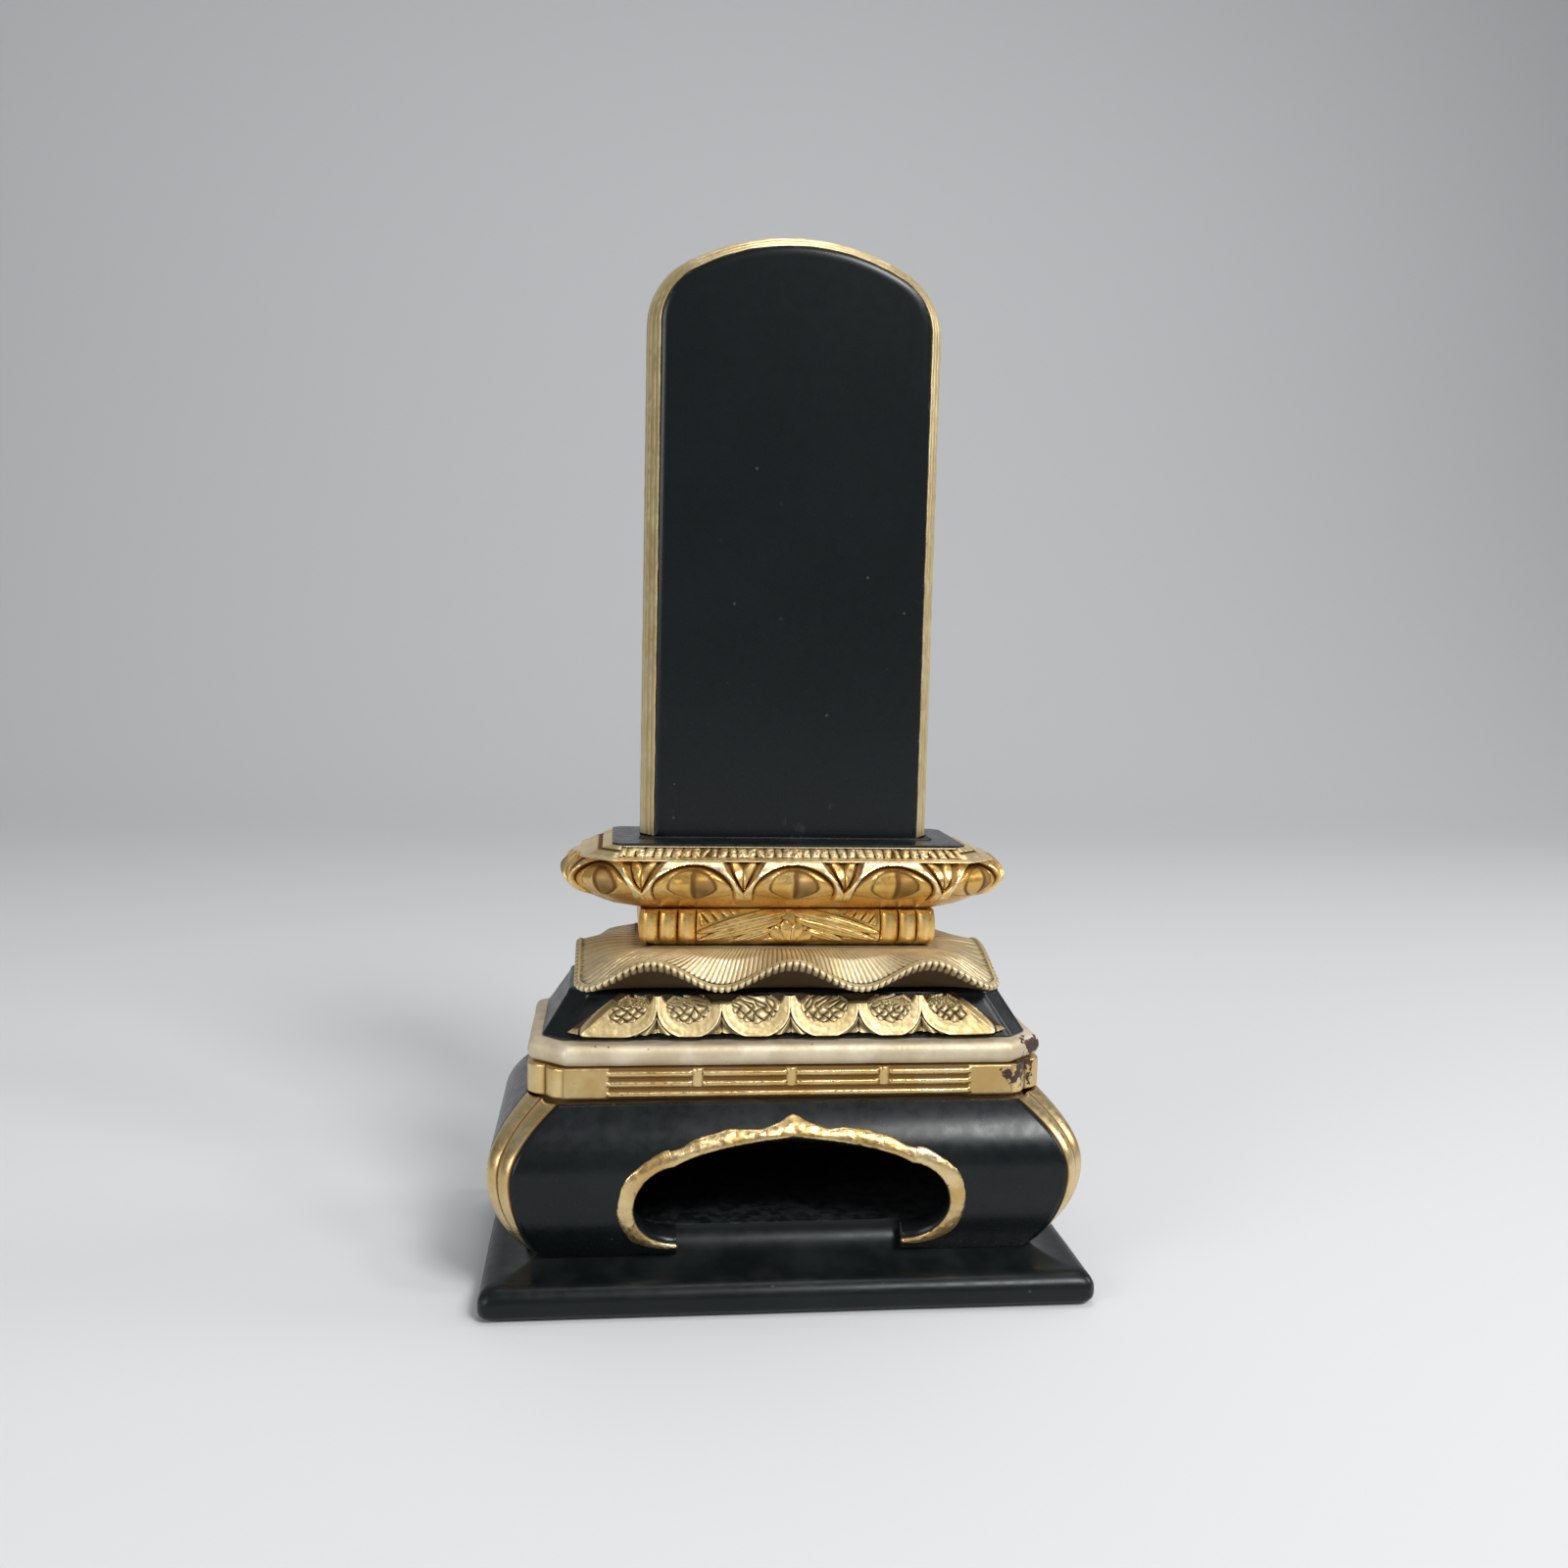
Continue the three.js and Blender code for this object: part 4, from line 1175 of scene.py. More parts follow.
@dataclass
class LowerLotus:
    """The black core and the gilt carving of down-turned petals on its front."""

    core_top_x: float = 43.5
    core_top_y: float = 14.0
    core_cant: float = 4.0
    core_round: float = 1.1
    half_foot: float = 43.8
    half_top: float = 33.6
    petal_edges: tuple[float, ...] = (0.0, 13.7, 26.5, 43.8)
    bowl: float = 6.0
    cell_half: float = 0.69
    cell_middle: float = 6.9
    cell_foot: float = 3.0
    cell_peak: float = 10.9
    peak: float = 9.4
    touch: float = 6.4
    fork: float = 3.6
    plate: float = 1.2
    sheet: float = 0.5
    scale_pitch: float = 1.75

    def build(self, looks: Finishes) -> None:
        """Make the core and the panel."""
        self.core(looks)
        self.panel(looks)

    def core(self, looks: Finishes) -> None:
        """Make the black block."""
        low, high = span("lotus_core")
        outer = Outline(high.x, high.y, self.core_cant, self.core_cant, 0.8)
        inner = Outline(self.core_top_x, self.core_top_y, self.core_cant, self.core_cant, 0.8, outer)
        run = high.x - self.core_top_x
        shoulder = high.z - self.core_round
        bend = self.core_round / run
        reach = (shoulder - low.z) / (high.z - low.z)
        line = Section([(0.0, low.z), *sweep((reach + bend, shoulder), (bend, self.core_round), 180, 90, 8)])

        def carve(along: float, z: float, x: float) -> Relief:
            return -0.06 + 0.05 * rough(x, abs(along), z, 8.0), 0.0

        mesh = shell(360, 30, tier(outer, inner, line, carve))
        make_piece("black_core", mesh, looks.black, ["lotus_core"])

    def panel(self, looks: Finishes) -> None:
        """Make the carved panel."""
        low, high = span("lower_lotus_panel")
        core_low, core_high = span("lotus_core")
        lean = math.atan2(core_high.y - self.core_top_y, core_high.z - core_low.z)
        height = (core_high.z - low.z) / math.cos(lean)
        back = -core_high.y - 0.3
        base = low.z + 0.35

        def place(along: float, up: float) -> Spot:
            half = mix(self.half_foot, self.half_top, up)
            x = mix(-half, half, along)
            notch = self.foot_notch(x * self.half_foot / half)
            rise = mix(notch, height - 0.4, up)
            relief, tone = self.relief(x, rise, height)
            proud = self.plate + relief
            rim = ease(0.0, 0.02, min(along, 1 - along)) * ease(0.0, 0.05, up)
            proud = mix(0.3, proud, rim)
            y = back + rise * math.sin(lean) - proud * math.cos(lean)
            z = base + rise * math.cos(lean) - proud * math.sin(lean) * 0.6
            return Vector((x, y, max(z, low.z))), tone

        mesh, nodes = carved(640, 70, place), ["lower_lotus_panel"]
        make_piece("down_turned_petals", mesh, looks.panel, nodes, wall=self.sheet)

    def petal_at(self, x: float, rise: float, height: float) -> tuple[float, float, bool]:
        """Return where a place lies in its petal, half the petal's width, and if a peak is near.

        Args:
            x: Place along the panel.
            rise: Distance up the slope from the foot.
            height: Length of the slope.

        Returns:
            The distance from the petal's middle as a share of its half width, that half width,
            and whether the nearer edge ends in a peak.
        """
        edges = self.petal_edges
        index = min(bisect_right(edges, abs(x)), len(edges) - 1)
        last = index == len(edges) - 1
        middle = (edges[index - 1] + edges[index]) / 2
        half = middle - edges[index - 1]
        if last:
            half = (mix(self.half_foot, self.half_top, rise / height) - edges[-2]) / 2
            middle = edges[-2] + half
        beyond = abs(x) > middle
        return min(1.0, abs(abs(x) - middle) / half), half, (index if beyond else index - 1) % 2 == 0

    def foot_notch(self, x: float) -> float:
        """Return how far the panel's lower edge is cut up at a place."""
        return 0.8 * (1 - round_over(self.petal_at(x, 0.0, 1.0)[0]))

    def relief(self, x: float, rise: float, height: float) -> Relief:
        """Return the height of the carving at a place, and its tone."""
        side, half, at_peak = self.petal_at(x, rise, height)
        grit = 0.04 * rough(x, rise, 3.0, 0.8)
        gap = (1 - side) * half
        roof = mix(self.cell_peak, self.cell_middle + 0.2, min(1.0, side / self.cell_half))
        low_cell = max(0.0, self.cell_middle - rise) / (self.cell_middle - self.cell_foot)
        cell = math.hypot(side / self.cell_half, low_cell)
        if cell < 1 and rise < roof:
            eave = ease(0.5, 0.15, roof - rise)
            boss = max(self.scales(x, rise) * (1 - eave), eave)
            relief = 0.2 + 0.3 * round_over(cell) + 0.6 * boss
            # The tone paints shade between the scales and highlights on their bosses.
            return relief, mix(-0.95, 1.05, boss**0.8) + 0.35 * rough(x, rise, 7.0, 1.1)
        power = 4.0 if abs(x) > mix(self.petal_edges[-2], self.half_foot, 0.5) else 2.0
        ring = (side**power + (max(0.0, self.bowl - rise) / self.bowl) ** power) ** (1 / power)
        if ring > 1.0:
            return self.second_leaf(gap, rise, at_peak, ring)
        top = self.peak if at_peak else self.touch
        reach = mix(self.cell_middle, top + 0.6, ease(self.cell_half, 1.0, side))
        share = min(1.0, max(0.0, (ring - self.cell_half) / (1 - self.cell_half)))
        lip = peak(ring, 0.97, 0.04)
        rim = 0.45 + 0.12 * share + 0.12 * lip + 0.1 * math.sin(math.pi * share)
        over = ease(reach + 0.5, reach - 0.3, rise)
        crease = ease(0.35, 0.0, gap) * ease(self.fork + 0.6, self.fork - 0.2, rise)
        # The tone paints shade in the recess above the rims and in the crease, and a highlight along the
        # rim's lip.
        return mix(-0.25, rim, over) - 0.3 * crease + grit, mix(-1.4, 0.45 + 0.5 * lip - crease, over)

    def second_leaf(self, gap: float, rise: float, at_peak: bool, ring: float) -> Relief:
        """Return the relief and tone of the lined leaf that shows under two rims.

        Args:
            gap: Distance from the line where the two rims meet.
            rise: Distance up the slope from the foot.
            at_peak: Whether the rims end in a peak, which leaves more room for the leaf.
            ring: 1 at the petal's outer edge, more outside it.
        """
        slope = 0.9 if at_peak else 0.5
        strand = math.sin((gap * slope + rise * 0.55) * 3.4)
        edge = ease(1.0, 1.07, ring)
        split = peak(gap, 0.0, 0.18)
        # The tone paints shade where the leaf meets the rims, along its split and between its lines.
        return (0.15 + 0.28 * strand) * edge - 0.3 * split, mix(-1.0, 0.1 + 0.7 * strand, edge) - split

    def scales(self, x: float, rise: float) -> float:
        """Return the height, up to 1, of the small uneven scales inside a petal."""
        bent_x = x + 0.7 * rough(x, rise, 0.0, 1.9)
        bent_z = rise + 0.7 * rough(x, rise, 5.0, 1.9)
        pitch = self.scale_pitch * mix(0.9, 1.5, ease(6.0, 9.5, rise))
        one = (bent_x + bent_z) / math.sqrt(2) / pitch
        two = (bent_x - bent_z) / math.sqrt(2) / pitch
        return abs(math.sin(math.pi * one) * math.sin(math.pi * two)) ** 0.85


# Leaf plate


@dataclass
class LeafPlate:
    """The waved lotus leaf with combed lines and a beaded edge."""

    corner: float = 5.0
    wave: float = 27.8
    crest: float = 65.7
    trough: float = 60.6
    bead: float = 0.6
    lip: float = 0.3
    lip_width: float = 0.7
    beads: int = 184
    lines: int = 236
    fan: float = 0.03
    comb: float = 0.42
    hub: float = 6.4
    clear: float = 0.3
    brow: float = 0.35
    fullness: float = 0.74
    root_share: float = 0.1
    bead_share: float = 0.3
    lip_share: float = 0.4

    def edge_height(self, x: float, y: float, high: Vector) -> float:
        """Return the height of the waved edge above a place in plan."""
        on_front = abs(y) / high.y > abs(x) / high.x
        turn = 2 * math.pi * (x / self.wave if on_front else y / (2 * high.y))
        return (self.crest + self.trough) / 2 + (self.crest - self.trough) / 2 * math.cos(turn)

    def border(self, up: float, tooth: float) -> tuple[float, float, float]:
        """Return the section of the row of beads and of the lip behind it.

        Args:
            up: Share of the way over the leaf's whole section.
            tooth: 0 in a gap between beads, 1 on top of one.

        Returns:
            How far in from the edge and how high over it a point lies, and its tone.
        """
        if up < self.bead_share:
            share = (up - self.root_share) / (self.bead_share - self.root_share)
            angle = math.pi * (share - 0.5)
            size = self.bead * mix(0.12, 1.0, tooth**0.45)
            inward = self.bead - size * math.cos(angle)
            # The tone paints shade between the beads and highlights on their tops.
            return inward, size * (math.sin(angle) - 1), mix(-1.3, 1.0, tooth**0.5)
        share = (up - self.bead_share) / (self.lip_share - self.bead_share)
        swell = round_over(2 * share - 1)
        # The tone paints shade at the lip's edges and a highlight along it.
        return self.bead + self.lip_width * share, self.lip * swell**0.7, mix(-0.9, 1.0, swell)

    def combed(self, along: float, share: float, rim: Vector, high: Vector) -> float:
        """Return the depth of the comb's groove at a place on the leaf.

        Args:
            along: Share of the way round the leaf.
            share: Share of the way from the lip to the neck.
            rim: Point of the edge outside the place.
            high: The leaf's highest corner.
        """
        spread = math.copysign(self.fan, rim.x) * ease(8.0, 38.0, abs(rim.x)) * -rim.y / high.y
        turn = math.pi * self.lines * (along + spread * share)
        coarse = abs(math.sin(turn / 2)) * ease(25.0, 31.0, abs(rim.x))
        tooth = max(abs(math.sin(turn)), coarse)
        depth = self.comb * ease(0.0, 0.05, share) * mix(1.0, 0.5, share)
        depth *= mix(1.0, 2.0, ease(18.0, 34.0, abs(rim.x)))
        uneven = 0.75 + 0.35 * rough(rim.x, rim.y, 3.0, 2.5)
        return depth * (1 - tooth**0.5) * uneven

    def build(self, looks: Finishes) -> None:
        """Make the leaf plate."""
        low, high = span("leaf_plate")
        neck = span("neck_block")[1]
        outer = Outline(high.x, high.y, radius=self.corner)
        seat = Outline(neck.x + self.clear, neck.y + self.clear, radius=1.0, like=outer)
        hub = Outline(high.x - self.hub, high.y - self.hub, radius=1.0, like=outer)

        def place(along: float, up: float) -> Spot:
            (rim, facing), (inside, _), (root, _) = outer.at(along), seat.at(along), hub.at(along)
            edge = self.edge_height(rim.x, rim.y, high)
            if up < self.root_share:
                share = up / self.root_share
                flat = root.lerp(rim - facing * self.bead, share)
                # The tone paints the underside in shade.
                return Vector((*flat, mix(low.z + self.clear, edge - 2 * self.bead, share**1.4))), -1.0
            if up < self.lip_share:
                drop = abs(math.sin(math.pi * self.beads * along))
                inward, rise, tone = self.border(up, drop)
                return Vector((*(rim - facing * inward), edge + rise)), tone
            share = (up - self.lip_share) / (1 - self.lip_share)
            flat = (rim - facing * (self.bead + self.lip_width)).lerp(inside, share)
            middle = mix(edge, high.z - self.brow, self.fullness)
            height = mix(edge, middle, share * 2) if share < 0.5 else mix(middle, high.z, share * 2 - 1)
            height += self.brow * math.sin(math.pi * share)
            groove = self.combed(along, share, rim, high)
            broad = 0.14 * rough(rim.x, rim.y, share * 4, 4.5) * math.sin(math.pi * share)
            # The tone paints shade in the comb's grooves and near the neck.
            tone = 0.75 - 1.6 * groove / self.comb - 0.9 * ease(0.8, 1.0, share)
            return Vector((*flat, min(high.z, height - groove + broad))), tone

        mesh = shell(self.lines * 7, 48, place)
        make_piece("waved_leaf", mesh, looks.pale, ["leaf_plate"], crease=75.0)


# Neck


@dataclass
class Neck:
    """The gilt block with ribs at its ends and a carved bud and leaves between them.

    Each of the sprays, the long leaves, has a start and an end along X, its height at both, and
    half its width.
    """

    swell: float = 0.8
    draw: float = 1.6
    rib_radius: float = 1.88
    rib_relief: float = 1.4
    rib_count: int = 3
    bud_radius: float = 5.4
    sprays: tuple[tuple[float, ...], ...] = (
        (0.6, 18.6, 6.9, 2.6, 1.35),
        (1.4, 18.4, 5.4, 0.9, 1.25),
        (3.6, 12.6, 3.1, 0.2, 1.0),
    )
    stroke_start: float = 9.5
    stroke_end: float = 18.4
    corner: float = 1.2
    half: float = field(init=False)

    def __post_init__(self) -> None:
        """Take the width from the frame."""
        self.half = span("neck_block")[1].x

    def build(self, looks: Finishes) -> None:
        """Make the neck block."""
        low, high = span("neck_block")
        height = high.z - low.z
        outer = Outline(high.x, high.y, self.corner, self.corner, 1.0)
        inner = outer.inset(self.draw)
        steps = 16
        profile = []
        for step in range(steps + 1):
            share = step / steps
            foot = 1 - round_over(min(1.0, (1 - share) / 0.98) if share < 0.25 else 0.0)
            inset = self.swell * (2 * share - 1) ** 2 * 0.5 + 0.6 * foot * ease(0.25, 0.0, share)
            profile.append((inset / self.draw, mix(low.z, high.z, share)))
        line = Section(profile)

        def carve(along: float, z: float, x: float) -> Relief:
            flat = high.x - self.corner
            if flat <= abs(along) <= outer.length / 2 - flat:
                return -0.1, 0.3
            relief, tone = self.relief(x, z - low.z, height)
            return relief - self.rib_relief, tone

        mesh = shell(1000, 66, tier(outer, inner, line, carve))
        make_piece("carved_neck", mesh, looks.rich, ["neck_block"])

    def relief(self, x: float, rise: float, height: float) -> Relief:
        """Return the height of the carving on the front at a place, and its tone."""
        ends = ease(-0.2, 1.3, rise) * ease(height + 0.3, height - 0.8, rise)
        away = self.half - 0.3 - abs(x)
        rib = away / (2 * self.rib_radius)
        if rib < self.rib_count:
            across = 2 * (rib - math.floor(rib)) - 1
            body = round_over(across)
            crease = ease(0.5, 0.0, body)
            end = round_over(min(1.0, max(0.0, (2.2 - rise) / 2.2)))
            glint = peak(across, 0.0, 0.3)
            relief = self.rib_relief * body * mix(0.3, 1.0, end) * mix(0.45, 1.0, ends)
            # The tone paints a highlight along each rib and shade in the creases between them.
            return relief, 0.3 + 0.35 * glint - 1.4 * crease
        relief, line = max(self.bud(x, rise), self.leaves(abs(x), rise), self.strokes(abs(x), rise))
        # The carving's tone paints shade round the bud, the leaves and the strokes.
        return (0.5 + relief + 0.05 * rough(x, rise, 2.0, 0.9)) * ends, 0.05 + 0.85 * line

    def bud(self, x: float, rise: float) -> Relief:
        """Return the relief and tone of the fan of small leaves in the middle."""
        away = math.hypot(x, (rise + 1.0) * 0.85)
        if away > self.bud_radius:
            return 0.0, 0.0
        angle = math.atan2((rise + 1.0) * 0.85, x)
        lobe = abs(math.cos(angle * 5.5))
        reach = mix(0.74, 1.0, lobe**0.6) * self.bud_radius
        edge = round_over(min(1.0, away / reach)) ** 0.5
        return 0.7 * edge * mix(0.6, 1.0, lobe**0.5), (0.9 * lobe**0.5 - 0.35) * min(1.0, 2 * edge)

    def leaves(self, x: float, rise: float) -> Relief:
        """Return the relief and tone of the long leaves that sweep out and down."""
        best = (0.0, 0.0)
        for start, end, high, low, width in self.sprays:
            share = (x - start) / (end - start)
            if not 0 < share < 1:
                continue
            middle = mix(high, low, share**1.15)
            half = width * math.sin(math.pi * share**0.7) ** 0.55
            across = (rise - middle) / max(half, 0.05)
            if abs(across) < 1:
                vein = peak(across, 0.1, 0.14)
                hair = 0.5 + 0.5 * math.cos(across * 14.0 + share * 2.0)
                relief = 0.12 + 0.42 * round_over(across) ** 0.6 + 0.1 * hair + 0.14 * vein
                edge = ease(1.0, 0.8, abs(across))
                best = max(best, (relief, mix(-0.9, 0.1 + 0.7 * vein + 0.25 * hair, edge)))
        return best

    def strokes(self, x: float, rise: float) -> Relief:
        """Return the relief and tone of the short slanting strokes in the upper corners."""
        start, end = self.stroke_start, self.stroke_end
        if not start < x < end or rise < 7.0 - (x - start) * 0.36:
            return 0.0, 0.0
        stroke = abs(math.sin((x - rise * 0.8) * 1.5))
        edge = ease(start, start + 1.0, x) * ease(end, end - 0.8, x)
        return (0.1 + 0.6 * stroke**0.7) * edge, (1.5 * stroke**0.6 - 0.8) * edge


# Upper lotus


@dataclass(frozen=True)
class Socket:
    """The mortise in the seat and the lotus that takes the tablet's tenon."""

    half_x: float = 13.3
    half_y: float = 3.3
    floor: float = 78.95
    slack: float = 0.3

    def outline(self, room: float, like: Outline) -> Outline:
        """Return the mortise's outline with some room round it."""
        return Outline(self.half_x + room, self.half_y + room, 0.4, 0.4, 0.1, like)


@dataclass
class UpperLotus:
    """The ring of upturned petals that carries the seat."""

    half_x: float = 44.3
    half_y: float = 18.9
    cant_x: float = 12.8
    cant_y: float = 10.8
    undercut: float = 8.0
    fullest: float = 0.64
    top_inset: float = 2.6
    pitch: float = 20.2
    dome_half: float = 8.0
    dome_middle: float = 4.0
    dome_top: float = 9.45
    kernel_half: float = 4.9
    kernel_middle: float = 5.2
    kernel_top: float = 8.9
    kernel_foot: float = 2.9
    rim_top_half: float = 6.2
    rim_splay: float = 0.68
    rim_relief: float = 1.3
    tip_share: float = 0.66
    highest: float = 1.8

    def petals(self, outer: Outline) -> list[float]:
        """Return the place of every petal along the outline, from its front middle."""
        front = [-self.pitch, 0.0, self.pitch]
        flat = self.half_x - self.cant_x
        cant = math.hypot(self.cant_x, self.cant_y)
        corner = flat + cant / 2
        side = flat + cant + self.half_y - self.cant_y
        half = outer.length / 2
        right = [corner, side, 2 * side - corner]
        back = [half - self.pitch, half]
        return [*(-place for place in reversed([*right, *back])), *front, *right, *back]

    def build(self, looks: Finishes) -> None:
        """Make the lotus."""
        low, high = span("upper_lotus")
        height = high.z - low.z
        outer = Outline(self.half_x, self.half_y, self.cant_x, self.cant_y, 5.0)
        inner = outer.inset(self.undercut)
        places = self.petals(outer)
        steps = 24

        def inset(share: float) -> float:
            if share < self.fullest:
                return ((self.fullest - share) / self.fullest) ** 2
            return self.top_inset / self.undercut * ((share - self.fullest) / (1 - self.fullest)) ** 2

        shares = [step / steps for step in range(steps + 1)]
        line = Section([(inset(share) * self.undercut, mix(low.z, high.z, share)) for share in shares])
        socket = Socket()
        hole = socket.outline(socket.slack, outer)
        rows = 76

        def place(along: float, up: float) -> Spot:
            row = round(up * (rows + 2))
            if row > rows:
                flat = hole.at(along)[0]
                # The tone paints the mortise in shade.
                return Vector((*flat, high.z if row == rows + 1 else socket.floor)), -1.0
            (start, facing), (end, _) = outer.at(along), inner.at(along)
            drawn, z = line.at(row / rows)
            flat = start.lerp(end, drawn / self.undercut)
            relief, tone = self.relief(places, (along - 0.5) * outer.length, z - low.z, height)
            relief += 0.05 * rough(flat.x, flat.y, z, 1.6)
            flat = flat + facing * min(relief, self.highest)
            return Vector((*flat, z)), tone

        mesh = shell(1200, rows + 2, place)
        make_piece("upturned_petals", mesh, looks.rich, ["upper_lotus"])

    def relief(self, places: list[float], along: float, rise: float, height: float) -> Relief:
        """Return the height of the petals at a place, and its tone.

        Args:
            places: Petal places along the outline.
            along: Distance along the outline from the front middle.
            rise: Height above the foot of the lotus.
            height: Height of the lotus.
        """
        nearest = min(places, key=lambda place: abs(place - along))
        order = places.index(nearest)
        beyond = order + (1 if along > nearest else -1)
        gap = abs(places[beyond] - nearest) if 0 <= beyond < len(places) else self.pitch
        across = min(1.0, abs(along - nearest) / (gap / 2)) * self.pitch / 2
        side = math.copysign(across, along - nearest)
        over = max(0.0, rise - self.dome_middle) / (self.dome_top - self.dome_middle)
        dome = math.hypot(across / self.dome_half, over)
        tip = self.kernel_foot + 0.5 * (across / self.kernel_half) ** 1.5
        if rise < tip and dome < 1.02:
            return self.underside(side, rise, tip)
        if dome < 1:
            return self.dome(side, rise, dome)
        outer = min(self.pitch / 2 + 0.3, self.rim_top_half + (height - 0.1 - rise) * self.rim_splay)
        if across < outer:
            share = min(1.0, (dome - 1) / 0.3)
            inside = ease(0.0, 0.25, share)
            outside = ease(outer, outer - 0.5, across)
            foot = ease(1.6, 3.0, rise)
            lift = self.rim_relief * inside * mix(0.4, 1.0, outside) * foot
            # The crescent dips the surface, and the tone paints a shadow there and a highlight on the rim.
            crescent = ease(0.3, 0.0, share) * ease(5.0, 8.0, rise)
            return lift - 0.3 * crescent, mix(0.0, 1.15 * inside * outside - 0.2 - 1.3 * crescent, foot)
        return self.between(self.pitch / 2 - across, rise, height)

    def underside(self, side: float, rise: float, tip: float) -> Relief:
        """Return the relief and tone of the two facets under a petal.

        Args:
            side: Signed distance from the petal's middle.
            rise: Height above the foot of the lotus.
            tip: Height at which the petal's body starts.
        """
        keel = 0.75 * max(0.0, 1 - abs(side) / self.dome_half)
        edge = peak(tip, rise, 0.25)
        # The tone paints shade along the petal's lower edge.
        return keel * ease(0.0, tip, rise), 0.2 - 0.7 * edge

    def dome(self, side: float, rise: float, ring: float) -> Relief:
        """Return the relief and tone of a petal's rounded body and its two-faced kernel.

        Args:
            side: Signed distance from the petal's middle.
            rise: Height above the foot of the lotus.
            ring: 0 in the middle of the petal, 1 at its edge.
        """
        above = rise > self.kernel_middle
        reach = self.kernel_top - self.kernel_middle if above else self.kernel_middle - self.kernel_foot
        power = 2.0 if above else 1.45
        high = (rise - self.kernel_middle) / reach
        kernel = (abs(side / self.kernel_half) ** power + abs(high) ** power) ** (1 / power)
        body = round_over(min(1.0, ring)) ** 0.7
        # The crescent dips the body under the rim, and its tone paints a shadow there.
        crescent = ease(0.86, 1.0, ring) * ease(5.0, 8.5, rise)
        if kernel >= 1:
            # The glint is a painted highlight below the rim; the tone also paints shade round the kernel.
            glint = peak(ring, 0.88, 0.035) * ease(7.0, 9.0, rise)
            step = ease(1.0, 1.12, kernel)
            return body - 0.15 * (1 - step) - 0.5 * crescent, 0.25 * step - 0.25 - 1.6 * crescent + glint
        wide = self.kernel_half * round_over(high)
        roof = 1 - abs(side) / max(0.1, wide)
        lift = 0.9 * roof**0.85 * (1 - kernel**3) ** 0.5 + 0.15
        keel = peak(side, 0.0, 0.5) * ease(0.98, 0.7, kernel)
        edge = ease(0.86, 1.0, kernel)
        # Painted light: the kernel's left face lighter than its right face, with painted shade in the keel
        # and round its edge.
        painted_side_light = mix(0.05, -0.6, ease(-0.4, 0.4, side)) + 0.25 * rough(side, rise, 1.0, 2.4)
        return body + lift, painted_side_light - 0.8 * keel - 0.9 * edge

    def between(self, away: float, rise: float, height: float) -> Relief:
        """Return the relief and tone of the second row's split tip between two petals.

        Args:
            away: Distance from the middle of the gap.
            rise: Height above the foot of the lotus.
            height: Height of the lotus.
        """
        room = self.pitch / 2 - self.rim_top_half - (height - 0.1 - rise) * self.rim_splay
        share = min(1.0, away / max(0.1, room))
        leaf = self.tip_share
        crease = peak(away, 0.0, 0.16)
        hole = ease(height - 1.9 + away * 1.1, height - 0.9 + away * 1.1, rise)
        # The tone paints shade in the gap beside the rim, in the crease and in the hole at the top.
        if share > leaf:
            gap = ease(leaf, leaf + 0.12, share) * ease(1.0, 0.85, share)
            return -0.15 - 0.5 * gap, -1.2 * gap
        body = 0.25 + 0.35 * share
        return mix(body - 0.25 * crease, -0.7, hole), mix(0.15 + 0.3 * share - crease, -1.5, hole)


# Seat


